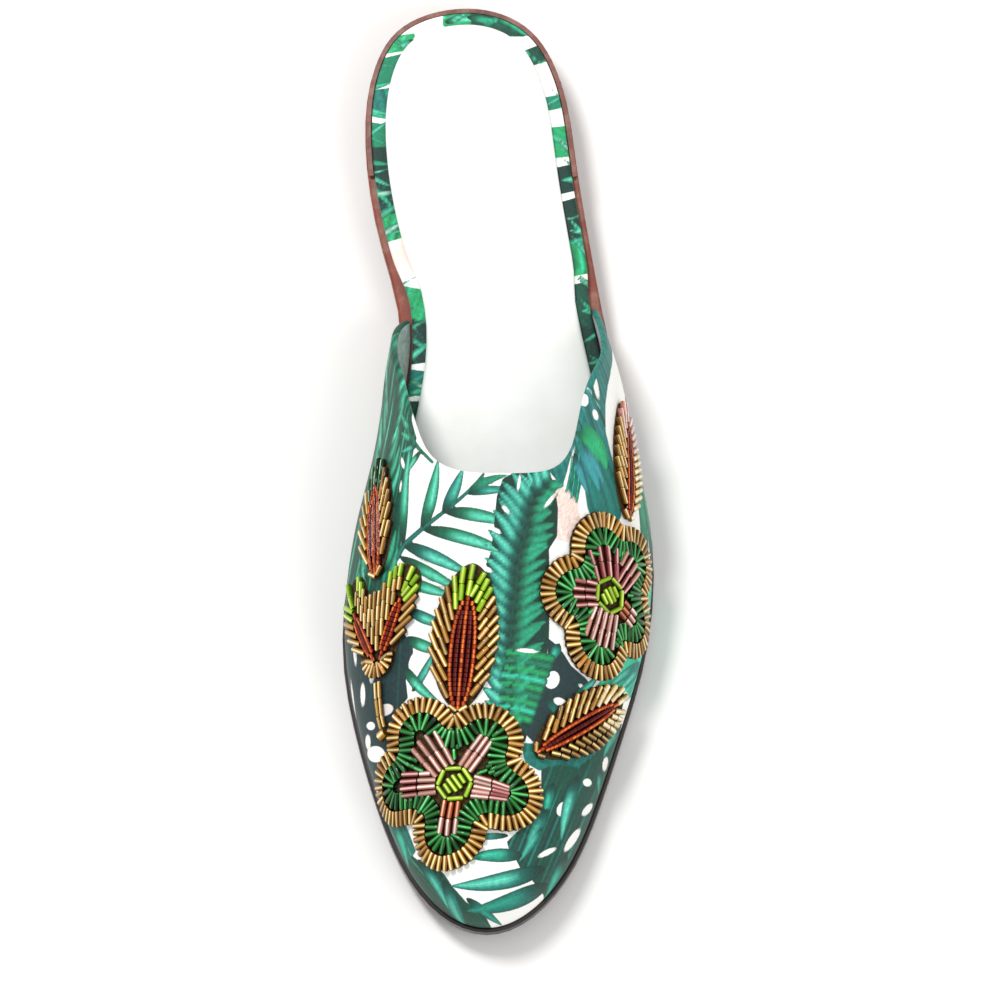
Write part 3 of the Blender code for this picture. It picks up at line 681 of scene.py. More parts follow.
def storePrint(mesh, layers, place, count):
    # The print's layers, and where each point lies on the flat cloth, go on the mesh as attributes
    total = len(mesh.vertices)
    for name, layer in layers.items():
        edge = np.full(total, -30.0, np.float32)
        edge[:count] = layer["edge"]
        mesh.attributes.new(name + "Edge", "FLOAT", "POINT").data.foreach_set("value", edge)
        colour = np.ones((total, 4), np.float32)
        colour[:count, :3] = layer["ink"]
        mesh.attributes.new(name + "Ink", "FLOAT_COLOR", "POINT").data.foreach_set("color", colour.ravel())
    mesh.attributes.new("flatPlace", "FLOAT_VECTOR", "POINT").data.foreach_set("vector", place.astype(np.float32).ravel())


def vampPlan(points):
    # The plan of the print. Where a side falls steeply, the plan runs on down it at under half its
    # length, so that the leaves don't smear there
    unit = 3.783
    x = 695.4 + unit * points[..., 0] * 1000
    y = 485.4 - unit * (0.951 * points[..., 1] + 0.309 * points[..., 2]) * 1000
    middle = points.shape[1] // 2
    steps = np.linalg.norm(np.diff(points, axis=1), axis=2) * 1000 * unit
    plan = x.copy()
    for j in range(middle, points.shape[1] - 1):
        plan[:, j + 1] = plan[:, j] + np.maximum(x[:, j + 1] - x[:, j], 0.40 * steps[:, j])
    for j in range(middle, 0, -1):
        plan[:, j - 1] = plan[:, j] - np.maximum(x[:, j] - x[:, j - 1], 0.40 * steps[:, j - 1])
    return plan, y


def troughDepth(points):
    # Each crease is deepest along its middle, and the cloth stands up a little on either side of it
    depth = np.zeros(points.shape[:-1])
    for low, high, half, deep in creases:
        steps = np.linspace(0, 1, 49)
        around = math.pi * (low[0] + (high[0] - low[0]) * steps)
        line = vampSurface(turnAt(low[1] + (high[1] - low[1]) * steps), around)
        apart = np.full(depth.shape, 1.0)
        place = np.zeros(depth.shape)
        for step, spot in zip(steps, line, strict=True):
            distance = np.linalg.norm(points - spot, axis=-1)
            closer = distance < apart
            apart[closer] = distance[closer]
            place[closer] = step
        apart = apart * 1000 / half
        depth += deep * np.sin(math.pi * (0.08 + 0.84 * place)) * (1 - 0.8 * apart**2) * np.exp(-(apart**2))
    return depth / 1000


def makeVamp(printed, lining):
    columns, rows, every = cloth["columns"], cloth["rows"], cloth["liningEvery"]
    radius, foldRows = cloth["foldRadius"], cloth["foldRows"]
    around = np.linspace(0, math.pi, columns + 1)
    edgeTurn = turnAt(toplineShare(around / math.pi))
    speed = np.linalg.norm(
        vampSurface(edgeTurn + 1e-3, around) - vampSurface(edgeTurn - 1e-3, around), axis=1
    ) / 2e-3
    edgeTurn = edgeTurn - radius / speed  # the rounded fold then ends where the solid's edge is
    share = np.linspace(0, 1, rows + 1)[:, None]
    turn = edgeTurn[None, :] * share
    outside = vampSurface(turn, around[None, :])
    outside[0] = outside[0].mean(axis=0)
    settle = smoothStep((1 - share) / 0.04) * troughDepth(outside)
    outside[1:] -= (settle[..., None] * vampNormal(turn, np.broadcast_to(around, turn.shape)))[1:]

    # The fold turns from the outside to the lining in half a circle
    normal = vampNormal(edgeTurn, around)
    forward = vampSurface(edgeTurn + 1e-3, around) - vampSurface(edgeTurn - 1e-3, around)
    forward /= np.linalg.norm(forward, axis=1, keepdims=True)
    centre = outside[-1] - radius * normal
    fold = []
    for k in range(1, foldRows + 1):
        angle = math.pi * k / foldRows
        fold.append(centre + radius * (math.cos(angle) * normal + math.sin(angle) * forward))
    fold = np.array(fold)
    floorHeight = soleBottom(fold[..., 1]) + last["soleThickness"] + last["gap"]
    fold[..., 2] = np.maximum(fold[..., 2], floorHeight)

    coarseTurn, coarseAround = turn[::every, ::every], around[::every]
    inside = vampSurface(coarseTurn, coarseAround[None, :])
    inside = inside - last["wall"] * vampNormal(coarseTurn, np.broadcast_to(coarseAround, coarseTurn.shape))
    inside[..., 2] = np.maximum(
        inside[..., 2], soleBottom(inside[..., 1]) + last["soleThickness"] + last["gap"]
    )
    inside[0] = inside[0].mean(axis=0)

    outer = np.concatenate([outside, fold])
    width = columns + 1
    points = [outside[0, 0]]  # the toe's pole is one point
    outerIndex = np.zeros((len(outer), width), int)
    outerIndex[1:] = 1 + np.arange((len(outer) - 1) * width).reshape(len(outer) - 1, width)
    points = np.concatenate([np.array(points), outer[1:].reshape(-1, 3)])
    innerCount = inside.shape[0] - 2
    innerWidth = inside.shape[1]
    innerIndex = np.zeros(inside.shape[:2], int)
    innerIndex[0] = len(points)
    innerIndex[1:-1] = len(points) + 1 + np.arange(innerCount * innerWidth).reshape(innerCount, innerWidth)
    innerIndex[-1] = outerIndex[-1, ::every]
    points = np.concatenate([points, inside[0, :1], inside[1:-1].reshape(-1, 3)])

    faces, marks = [], []
    for i in range(len(outer) - 1):
        low, high = outerIndex[i], outerIndex[i + 1]
        for j in range(columns):
            corners = (low[j], high[j], high[j + 1]) if i == 0 else (low[j], high[j], high[j + 1], low[j + 1])
            faces.append(corners)
            marks.append(0)
    lastRow = inside.shape[0] - 1
    for i in range(lastRow):
        for j in range(innerWidth - 1):
            if i == lastRow - 1:
                rim = outerIndex[-1, j * every : (j + 1) * every + 1]
                corners = (innerIndex[i, j], innerIndex[i, j + 1], *rim[::-1])
            elif i == 0:
                corners = (innerIndex[0, 0], innerIndex[1, j + 1], innerIndex[1, j])
            else:
                corners = (innerIndex[i, j], innerIndex[i, j + 1], innerIndex[i + 1, j + 1], innerIndex[i + 1, j])
            faces.append(corners)
            marks.append(1)
    for side, column in ((0, 0), (-1, columns)):
        for i in range(lastRow):
            strip = list(outerIndex[i * every : (i + 1) * every + 1, column])
            inner = [innerIndex[i + 1, side], innerIndex[i, side]]
            if i == lastRow - 1:
                strip += list(outerIndex[rows + 1 :, column])
                inner = [innerIndex[i, side]]
            corners = strip + inner
            faces.append(tuple(corners[::-1] if side == 0 else corners))
            marks.append(0)

    mesh = bpy.data.meshes.new("vampCloth")
    mesh.from_pydata(points.tolist(), [], [tuple(int(c) for c in face) for face in faces])
    mesh.update()
    mesh.polygons.foreach_set("material_index", np.array(marks, np.int32))

    planX, planY = vampPlan(outer)
    planX[0], planY[0] = planX[0].mean(), planY[0].mean()
    flatX = np.concatenate([[planX[0, 0]], planX[1:].ravel()])
    flatY = np.concatenate([[planY[0, 0]], planY[1:].ravel()])
    middle = columns // 2
    reach = np.linalg.norm(np.diff(outer, axis=1), axis=2)
    girth = np.concatenate([np.zeros((len(outer), 1)), np.cumsum(reach, axis=1)], axis=1)
    girth -= girth[:, [middle]]
    run = np.concatenate([[0], np.cumsum(np.linalg.norm(np.diff(outer[:, middle], axis=0), axis=1))])
    run = np.broadcast_to(run[:, None], girth.shape)
    weave = points * 1000
    weave[1 : len(flatX)] = np.stack([girth[1:].ravel(), run[1:].ravel(), 0 * run[1:].ravel()], 1) * 1000
    storePrint(mesh, paintVamp(flatX, flatY), weave, len(flatX))

    shape = bmesh.new()
    shape.from_mesh(mesh)
    bmesh.ops.recalc_face_normals(shape, faces=shape.faces)
    shape.to_mesh(mesh)
    shape.free()
    mesh.shade_smooth()
    return addPiece(addObject("vampCloth", mesh, printed, lining), "leaf_print_cloth", "upper")


def clothMaterial():
    # Cotton sateen, printed with leaves: soft, a little sheen, fine threads that only just show
    made, tree, shader = newMaterial("printedSateen", Roughness=0.62, Sheen_Weight=0.12, Sheen_Roughness=0.4)
    shader.inputs["Specular IOR Level"].default_value = 0.35
    place = addNode(tree, "ShaderNodeAttribute", attribute_name="flatPlace").outputs["Vector"]
    # Dye strength drifts over a few millimetres, as hand-laid washes do
    wash = addNode(tree, "ShaderNodeTexNoise", {"Vector": place, "Scale": 0.9, "Detail": 5.0, "Roughness": 0.65})
    washGain = addNode(
        tree, "ShaderNodeMapRange",
        {"Value": wash.outputs["Fac"], "From Min": 0.3, "From Max": 0.7, "To Min": 0.74, "To Max": 1.24},
    ).outputs[0]  # fmt: skip
    ragged = addNode(tree, "ShaderNodeTexNoise", {"Vector": place, "Scale": 2.6, "Detail": 2.0})
    jitter = addNode(tree, "ShaderNodeMath", {0: ragged.outputs["Fac"], 1: 0.5}, operation="SUBTRACT")
    blushes = addNode(tree, "ShaderNodeTexNoise", {"Vector": place, "Scale": 0.045, "Detail": 1.0})
    bare = addNode(tree, "ShaderNodeValToRGB", {"Fac": blushes.outputs["Fac"]})
    setStops(bare, [(0.60, inks["ground"]), (0.74, inks["blush"])])
    colour = bare.outputs["Color"]
    for name in printLayers:
        edge = addNode(tree, "ShaderNodeAttribute", attribute_name=name + "Edge").outputs["Fac"]
        paint = addNode(tree, "ShaderNodeAttribute", attribute_name=name + "Ink").outputs["Color"]
        wobble = addNode(
            tree, "ShaderNodeMath", {0: jitter.outputs[0], 1: 1.1, 2: edge}, operation="MULTIPLY_ADD"
        ).outputs[0]
        mask = addNode(
            tree, "ShaderNodeMapRange",
            {"Value": wobble, "From Min": -0.35, "From Max": 0.45, "To Min": 0.0, "To Max": 1.0},
        ).outputs[0]  # fmt: skip
        washed = addNode(tree, "ShaderNodeVectorMath", {0: paint, "Scale": washGain}, operation="SCALE")
        colour = addNode(
            tree, "ShaderNodeMix", {0: mask, 6: colour, 7: washed.outputs[0]}, data_type="RGBA"
        ).outputs[2]
    tree.links.new(colour, shader.inputs["Base Color"])
    # Threads are about 0.3 mm apart, drawn at twice that so that they show
    parts = addNode(tree, "ShaderNodeSeparateXYZ", {0: place})
    waves = []
    for axis in (0, 1):
        turns = addNode(tree, "ShaderNodeMath", {0: parts.outputs[axis], 1: math.pi / 0.6}, operation="MULTIPLY")
        waves.append(addNode(tree, "ShaderNodeMath", {0: turns.outputs[0]}, operation="SINE").outputs[0])
    threads = addNode(tree, "ShaderNodeMath", {0: waves[0], 1: waves[1]}, operation="MULTIPLY").outputs[0]
    bump = addNode(tree, "ShaderNodeBump", {"Strength": 0.12, "Distance": 0.00003, "Height": threads})
    tree.links.new(bump.outputs[0], shader.inputs["Normal"])
    return made


def liningMaterial():
    # Brushed cotton lining in grey-green: dull, with a faint nap
    made, tree, shader = newMaterial("brushedLining", Roughness=0.9, Sheen_Weight=0.25)
    where = addNode(tree, "ShaderNodeTexCoord").outputs["Object"]
    nap = addNode(tree, "ShaderNodeTexNoise", {"Vector": where, "Scale": 900.0, "Detail": 3.0})
    shade = addNode(tree, "ShaderNodeValToRGB", {"Fac": nap.outputs["Fac"]})
    setStops(shade, [(0.3, "#7d958d"), (0.7, "#a9bdb4")])
    tree.links.new(shade.outputs["Color"], shader.inputs["Base Color"])
    bump = addNode(tree, "ShaderNodeBump", {"Strength": 0.3, "Distance": 0.0001, "Height": nap.outputs["Fac"]})
    tree.links.new(bump.outputs[0], shader.inputs["Normal"])
    return made


printedCloth = clothMaterial()
makeVamp(printedCloth, liningMaterial())
print("printed vamp made")


# Beadwork of bugle and seed beads

beads = {  # millimetres
    "bugle": 4.1,
    "shortBugle": 2.7,
    "diameter": 1.70,
    "seed": 1.26,
    "pitch": 1.66,
    "lift": 1.0,
    # lifts of the dark sheet under each motif, which paints the shade between the beads
    "shadeSheet": (0.02, 0.22),
    "sides": 8,
    "random": 11,
}

# Silver-lined glass: a painted shade colour for a bead's flanks, the colour of its body, a painted highlight colour for
# the streak along its back, how much single beads differ, and how strong that painted highlight is
tints = {
    "gold": ("#261400", "#985f06", "#ffeaa6", 0.26, 1.0),
    "paleGold": ("#462c03", "#b17c19", "#fff3c2", 0.20, 1.1),
    "bronze": ("#1e1100", "#6a4407", "#ecd28a", 0.22, 0.7),
    "cream": ("#8c6828", "#e4c888", "#fffcec", 0.08, 0.95),
    "green": ("#001603", "#04470c", "#6cec80", 0.36, 0.42),
    "pineGreen": ("#021a0a", "#0a4022", "#b8f8b4", 0.24, 0.45),
    "lime": ("#3f5e00", "#86b200", "#f0ff86", 0.16, 0.6),
    "pink": ("#62322a", "#b57868", "#fff0e6", 0.18, 0.95),
    "blush": ("#8a5648", "#d4a090", "#fff6f0", 0.14, 0.95),
    "rose": ("#4a171a", "#873a3c", "#f8c8bc", 0.18, 0.7),
    "rust": ("#4c1204", "#98390f", "#ffcca0", 0.16, 0.75),
    "red": ("#1c0000", "#480400", "#8e1c06", 0.15, 0.35),
    # the same red seed beads painted as if lit: a brighter body and a stronger painted highlight streak
    "paintedHighlightRed": ("#380400", "#8e1e02", "#ff8a30", 0.15, 0.62),
}

petalWidth = 20.5
toeFlower = {
    "node": "flower_toe",
    "centre": (-7.7, 42.7),
    "lobes": ((123, 26.5), (54, 23.9), (-12, 23.4), (-100, 22.9), (174, 26.5)),
    # How many pink beads side by side, how they spread, and the two colours from the centre out
    "pinks": (
        (4, 0.06, "pink", "pink"), (3, 0.0, "pink", "pink"), (5, -0.05, "pink", "rose"),
        (3, 0.04, "rust", "pink"), (4, 0.02, "pink", "rose"),
    ),
    "hexagon": (92, 4.0, 4.2),
    "inner": (-58, 4, 4.6),
}  # fmt: skip
sideFlower = {
    "node": "flower_side",
    "centre": (35.2, 95.8),
    "lobes": ((104, 22.4), (52, 23.4), (186, 20.8), (-104, 23.4), (-27, 19.8)),
    "pinks": (
        (4, 0.12, "rose", "rose"), (4, 0.05, "rose", "pink"), (4, 0.06, "rose", "rose"),
        (5, 0.05, "pink", "pink"), (3, 0.04, "rust", "pink"),
    ),
    "hexagon": (60, 4.2, 4.4),
    "inner": (-54, 4, 4.8),
}  # fmt: skip


def trimmed(rows, share=0.50):
    # A bead that would run through one placed before it is taken shorter, or left out
    kept, points, sizes = [], [], []
    for x, y, way, long, thick, colour, lift in rows:
        run = np.array([math.cos(way), math.sin(way)])
        for part, shift in ((1.0, 0), (0.8, 0.1), (0.8, -0.1), (0.6, 0.2), (0.6, -0.2), (0.42, 0.29), (0.42, -0.29)):
            middle = np.array([x, y]) + shift * long * run
            line = middle + np.linspace(-0.5, 0.5, 5)[:, None] * max(part * long - thick, 0.0) * run
            if kept:
                apart = np.linalg.norm(np.array(points)[:, :, None] - line[None, None], axis=-1).min(axis=(1, 2))
                if (apart < share * (np.array(sizes) + thick) / 2).any():
                    continue
            kept.append((*middle, way, part * long, thick, colour, lift))
            points.append(line)
            sizes.append(thick)
            break
    return kept


def lobeReach(way, lobes, inset, width=petalWidth):  # the outline's reach, moved inwards, at an angle
    half = width / 2 - inset
    best = half
    for lobeWay, reach in lobes:
        apart = abs((way - math.radians(lobeWay) + math.pi) % (2 * math.pi) - math.pi)
        middle = reach - width / 2
        if apart >= math.pi / 2:
            continue
        if middle * math.tan(apart) >= half:
            best = max(best, half / math.sin(apart))
        else:
            cap = math.sqrt(half**2 - (middle * math.sin(apart)) ** 2)
            best = max(best, middle * math.cos(apart) + cap)
    return best


def lobeOutline(centre, lobes, inset, width=petalWidth, count=720):
    # Runs at the same distance inside the outline everywhere, so it is round at the valleys
    ways = np.linspace(0, 2 * math.pi, count, endpoint=False)
    reach = np.array([lobeReach(way, lobes, 0.0, width) for way in ways])
    line = np.stack([reach * np.cos(ways), reach * np.sin(ways)], 1)
    coarse = line[:: max(1, count // 240)]
    inner = []
    for way, outer in zip(ways, reach, strict=True):
        radii = np.linspace(outer, 0.3, 120)
        spots = radii[:, None] * np.array([math.cos(way), math.sin(way)])
        apart = np.linalg.norm(spots[:, None] - coarse[None], axis=2).min(axis=1)
        inner.append(radii[np.argmax(apart >= inset)])
    inner = np.array(inner)
    return np.stack([centre[0] + inner * np.cos(ways), centre[1] + inner * np.sin(ways)], 1)


def ringOfBeads(flower, inset, length, colour):
    # Beads side by side along the outline, each square to a smoothed copy of it
    line = lobeOutline(flower["centre"], flower["lobes"], inset)
    steps = np.linalg.norm(np.roll(line, -1, axis=0) - line, axis=1)
    run = np.concatenate([[0], np.cumsum(steps)])
    closed = np.concatenate([line, line[:1]])
    even = np.linspace(0, run[-1], 720, endpoint=False)
    xs, ys = np.interp(even, run, closed[:, 0]), np.interp(even, run, closed[:, 1])
    window = max(3, int(2.4 / (run[-1] / 720)))
    kernel = np.hanning(2 * window + 1)
    kernel /= kernel.sum()
    xs = np.convolve(np.concatenate([xs[-window:], xs, xs[:window]]), kernel, "valid")
    ys = np.convolve(np.concatenate([ys[-window:], ys, ys[:window]]), kernel, "valid")
    across = np.arctan2(np.roll(xs, 1) - np.roll(xs, -1), np.roll(ys, -1) - np.roll(ys, 1))
    count = int(round(run[-1] / beads["pitch"]))
    places = [int(k * 720 / count) for k in range(count)]
    return [(xs[i], ys[i], across[i], length, beads["diameter"], colour, 0.0) for i in places]


def flowerBeads(flower):
    made = []
    cx, cy = flower["centre"]
    for (way, reach), (count, spread, near, far) in zip(flower["lobes"], flower["pinks"], strict=True):
        start = 4.9
        long = min(5.2, (reach - 9.2 - start) / 2)
        for i in range(count):
            side = i - (count - 1) / 2
            a = math.radians(way) + side * spread
            for j, colour in enumerate((near, far)):
                out = start + (long + 0.12) * (j + 0.5) - 0.3 * abs(side)
                x = cx + out * math.cos(a) - side * 1.56 * math.sin(a)
                y = cy + out * math.sin(a) + side * 1.56 * math.cos(a)
                made.append((x, y, a, long, beads["diameter"], colour, 0.0))
    turn, apothem, long = flower["hexagon"]
    for k in range(6):
        a = math.radians(turn + 60 * k)
        made.append((cx + apothem * math.cos(a), cy + apothem * math.sin(a), a + math.pi / 2, long, 1.4, "lime", 0.05))
    turn, count, long = flower["inner"]
    a = math.radians(turn)
    for i in range(count):
        side = (i - (count - 1) / 2) * 1.5
        shorter = long - 0.9 * abs(i - (count - 1) / 2) ** 1.5
        made.append((cx - side * math.sin(a), cy + side * math.cos(a), a, shorter, 1.45, "lime", 0.0))
    made += ringOfBeads(flower, 2.05, beads["bugle"], "gold")
    made += ringOfBeads(flower, 6.35, beads["bugle"] + 0.5, "green")
    # Short green beads fill the corners between the pink groups
    turns = sorted(way % 360 for way, _ in flower["lobes"])
    for low, high in zip(turns, [*turns[1:], turns[0] + 360], strict=True):
        a = math.radians((low + high) / 2)
        for out, side in ((7.7, 0.0), (10.5, 0.86), (10.5, -0.86), (13.3, 0.86), (13.3, -0.86)):
            x = cx + out * math.cos(a) - side * math.sin(a)
            made.append((x, cy + out * math.sin(a) + side * math.cos(a), a, 2.9, beads["diameter"], "green", 0.0))
    return made


def oval(s, length, half, power):  # half width of a leaf or of its spine at s along it
    return half * max(0.0, 1 - abs(2 * s / length - 1) ** power) ** (1 / power)


def leafBeads(leaf):
    # In the leaf's own frame s runs from its base to its tip and t to its right. Rows of beads start
    # at the spine, lean towards the tip and end on the leaf's outline
    way = math.radians(leaf["way"])
    f, r = np.array([math.cos(way), math.sin(way)]), np.array([math.sin(way), -math.cos(way)])
    base = np.array(leaf["base"])
    length = leaf["length"]
    spineLength = leaf["spineEnd"] * length
    spineHalf, spineShift = leaf["spineHalf"], leaf.get("spineShift", 0.0)
    made = []

    def add(start, end, long, colour, thick, lift=0.0):
        run = np.array(end) - np.array(start)
        reach = np.linalg.norm(run)
        count = max(1, int(round(reach / (long + 0.12))))
        each = (reach - 0.12 * (count - 1)) / count
        for j in range(count):
            s, t = np.array(start) + run / reach * (each * (j + 0.5) + 0.12 * j)
            x, y = base + f * s + r * t
            angle = math.atan2(*(f * run[0] + r * run[1])[::-1])
            made.append((x, y, angle, each, thick, colour, lift))

    # Spine of seed beads in columns of one red; those at its edges and in its middle are painted as if lit, with a
    # brighter body and a stronger painted highlight
    s = 0.7
    while s < spineLength - 0.4:
        half = oval(s, spineLength, spineHalf, 2.2)
        columns = 1 + 2 * int(round((half - 0.62) / 1.30)) if half > 1.0 else 1
        for c in range(columns):
            t = 0.0 if columns == 1 else (2 * c / (columns - 1) - 1) * max(0.62, half - 0.62)
            bright = c in (0, columns - 1) or (2 * c == columns - 1 and spineHalf > 2.8)
            x, y = base + f * s + r * (t + spineShift)
            made.append((x, y, way, beads["seed"] * 0.96, 1.40, "paintedHighlightRed" if bright else "red", 0.08))
        s += beads["seed"]

    for side in (1, -1):
        rows = leaf["right"] if side > 0 else leaf["left"]
        if rows is None:
            continue
        colour, lean, long = rows
        last, behind = None, beads["pitch"]
        for endS in np.arange(0.8, length - 0.1, 0.05):
            s = np.clip(endS - lean * (1 - math.exp(-endS / 4.0)), 0.0, spineLength)
            start = np.array([s, oval(s, spineLength, spineHalf, 2.2) + 0.30 + spineShift * side])
            end = np.array([endS, oval(endS, length, leaf["width"] / 2, 1.7) - 0.25])
            middle, run = (start + end) / 2, end - start
            reach = np.linalg.norm(run)
            if reach < 1.4 or middle[1] < 1.3:
                continue
            if last is not None:
                step = middle - last
                behind += abs(step[0] * run[1] - step[1] * run[0]) / reach
            last = middle
            if behind >= beads["pitch"]:
                tip = s > leaf["tipFrom"] * spineLength
                add(start * (1, side), end * (1, side), leaf["tipLong"] if tip else long,
                    leaf["tip"] if tip else colour, beads["diameter"])  # fmt: skip
                behind = 0.0
    add((spineLength + 0.2, 0.0), (length - 0.5, 0.0), leaf["tipLong"], leaf["tip"], beads["diameter"], 0.05)
    return made


leaves = {
    "leafCentre": {
        "node": "leaf_centre", "base": (-6.4, 61.9), "way": 85.2, "length": 39.2, "width": 18.4,
        "spineEnd": 0.77, "spineHalf": 3.6, "right": ("gold", 6.6, 4.1), "left": ("gold", 8.8, 4.1),
        "tip": "lime", "tipFrom": 0.84, "tipLong": 4.4,
    },
    "leafToeSide": {
        "node": "leaf_toe_side", "base": (13.6, 51.2), "way": 34, "length": 37.4, "width": 15.2,
        "spineEnd": 0.84, "spineHalf": 2.1, "right": ("bronze", 4.6, 2.7), "left": ("gold", 6.4, 4.1),
        "tip": "cream", "tipFrom": 0.68, "tipLong": 2.7,
    },
    "leafLateral": {
        "node": "leaf_lateral", "base": (41.6, 118.2), "way": 80, "length": 35.9, "width": 14.4,
        "spineEnd": 0.82, "spineHalf": 2.0, "right": ("cream", 3.4, 2.4), "left": ("paleGold", 8.0, 3.4),
        "tip": "blush", "tipFrom": 0.70, "tipLong": 3.2,
    },
    "leafMedial": {
        "node": "leaf_medial", "base": (-31.8, 101.2), "way": 107, "length": 36.7, "width": 14.1,
        "spineEnd": 0.76, "spineHalf": 2.9, "right": ("gold", 8.6, 4.1), "left": ("paleGold", 7.6, 4.1),
        "tip": "pineGreen", "tipFrom": 0.84, "tipLong": 4.6,
    },
}  # fmt: skip

fan = {
    "node": "leaf_fan_medial",
    "centre": (-29.8, 79.4),
    "lobes": ((68, 25.1), (95, 17.8), (124, 28.6)),
    "width": 11.5,
}
fanLeaves = (
    {
        "base": (-28.6, 78.2), "way": 68, "length": 25.6, "width": 11.4,
        "spineEnd": 0.66, "spineHalf": 1.75, "right": ("gold", 5.4, 4.1), "left": None,
        "tip": "lime", "tipFrom": 0.80, "tipLong": 4.4,
    },
    {
        "base": (-30.4, 78.2), "way": 122.5, "length": 29.0, "width": 11.2,
        "spineEnd": 0.64, "spineHalf": 1.6, "right": None, "left": ("paleGold", 5.4, 4.1),
        "tip": "lime", "tipFrom": 0.80, "tipLong": 4.4,
    },
)  # fmt: skip


def fanBeads():
    made = []
    for leaf in fanLeaves:
        made += leafBeads(leaf)
    cx, cy = fan["centre"]
    # Bugles spread round the base, then upright ones fill the space between the two leaves
    for turn in np.arange(186, 358, 19):
        a = math.radians(turn)
        made.append((cx + 3.6 * math.cos(a), cy + 3.6 * math.sin(a), a, 4.1, 1.6, "gold", 0.0))
    for offset in np.arange(-9.6, 8.0, 1.62):
        low = cy + 1.2 + (2.30 * offset if offset > 0 else -1.50 * offset)
        high = low
        while math.hypot(offset, high - cy) < lobeReach(math.atan2(high - cy, offset), fan["lobes"], 0.2, fan["width"]):
            high += 0.1
        if high - low < 2.2:
            continue
        count = max(1, int(round((high - low) / 4.1)))
        each = (high - low) / count
        for j in range(count):
            b = low + each * (j + 0.5)
            colour = "lime" if b > 98.2 else ("gold" if (j + int(offset)) % 2 else "paleGold")
            made.append((cx + offset, b, math.radians(92 - offset * 0.8), each - 0.1, 1.58, colour, 0.0))
    return made


def stemBeads():
    made = []
    line = np.array([(-29.7, 72.8), (-29.5, 68.3), (-29.0, 63.8), (-28.2, 60.4)])
    for a, b in zip(line, line[1:], strict=False):
        way = math.atan2(b[1] - a[1], b[0] - a[0])
        for side in (-0.66, 0.66):
            middle = (a + b) / 2 + side * np.array([-math.sin(way), math.cos(way)])
            made.append((*middle, way, np.linalg.norm(b - a) - 0.15, 1.25, "paleGold", 0.0))
    made.append((-27.8, 58.6, 0.4, 2.4, 3.0, "paleGold", 0.5))
    return made


def beadShape(sides):
    # One bead, a unit long and a unit across, with eased rims. A value on its points is 1 along its back, where the
    # material paints a highlight streak, and 0 at its flanks and rims, where it paints shade
    shape = bmesh.new()
    paintedLightCore = shape.verts.layers.float.new("paintedLightCore")
    profile = ((0.22, -0.45), (0.40, -0.5), (0.5, -0.43), (0.5, 0.43), (0.40, 0.5), (0.22, 0.45))
    rings = []
    for radius, place in profile:
        ring = []
        for i in range(sides):
            a = 2 * math.pi * i / sides
            vert = shape.verts.new((radius * math.cos(a), radius * math.sin(a), place))
            # 1 along the back for the painted highlight, falling to 0 at the flanks for the painted shade
            vert[paintedLightCore] = max(0.0, math.cos(a)) * (radius > 0.3)
            ring.append(vert)
        rings.append(ring)
    for low, high in zip(rings, rings[1:], strict=False):
        for i in range(sides):
            j = (i + 1) % sides
            shape.faces.new((low[i], low[j], high[j], high[i]))
    shape.faces.new(rings[0][::-1])
    shape.faces.new(rings[-1])
    mesh = bpy.data.meshes.new("beadShape")
    shape.to_mesh(mesh)
    shape.free()
    mesh.shade_smooth()
    return bpy.data.objects.new("beadShape", mesh)


def beadTree():
    # Puts the bead on each point: its length along "axis", its back along "up"
    tree = bpy.data.node_groups.new("sewnBeads", "GeometryNodeTree")
    for name, kind in (
        ("Points", "NodeSocketGeometry"), ("Bead", "NodeSocketObject"), ("Finish", "NodeSocketMaterial"),
        ("Thickness", "NodeSocketFloat"),
    ):  # fmt: skip
        tree.interface.new_socket(name, in_out="INPUT", socket_type=kind)
    tree.interface.new_socket("Beads", in_out="OUTPUT", socket_type="NodeSocketGeometry")
    entry = addNode(tree, "NodeGroupInput")
    stored = [
        addNode(tree, "GeometryNodeInputNamedAttribute", {"Name": name}, data_type="FLOAT_VECTOR").outputs[0]
        for name in ("axis", "up", "beadSize")
    ]
    turn = addNode(
        tree, "FunctionNodeAxesToRotation", {0: stored[0], 1: stored[1]}, primary_axis="Z", secondary_axis="X"
    )
    scaled = addNode(
        tree, "ShaderNodeVectorMath", {0: stored[2], "Scale": entry.outputs["Thickness"]}, operation="SCALE"
    )
    bead = addNode(tree, "GeometryNodeObjectInfo", {"Object": entry.outputs["Bead"]})
    sewn = addNode(
        tree, "GeometryNodeInstanceOnPoints",
        {
            "Points": entry.outputs["Points"], "Instance": bead.outputs["Geometry"],
            "Rotation": turn.outputs[0], "Scale": scaled.outputs[0],
        },
    )  # fmt: skip
    real = addNode(tree, "GeometryNodeRealizeInstances", {"Geometry": sewn.outputs[0]})
    finish = addNode(
        tree, "GeometryNodeSetMaterial", {"Geometry": real.outputs[0], "Material": entry.outputs["Finish"]}
    )
    addNode(tree, "NodeGroupOutput", {"Beads": finish.outputs[0]})
    return tree


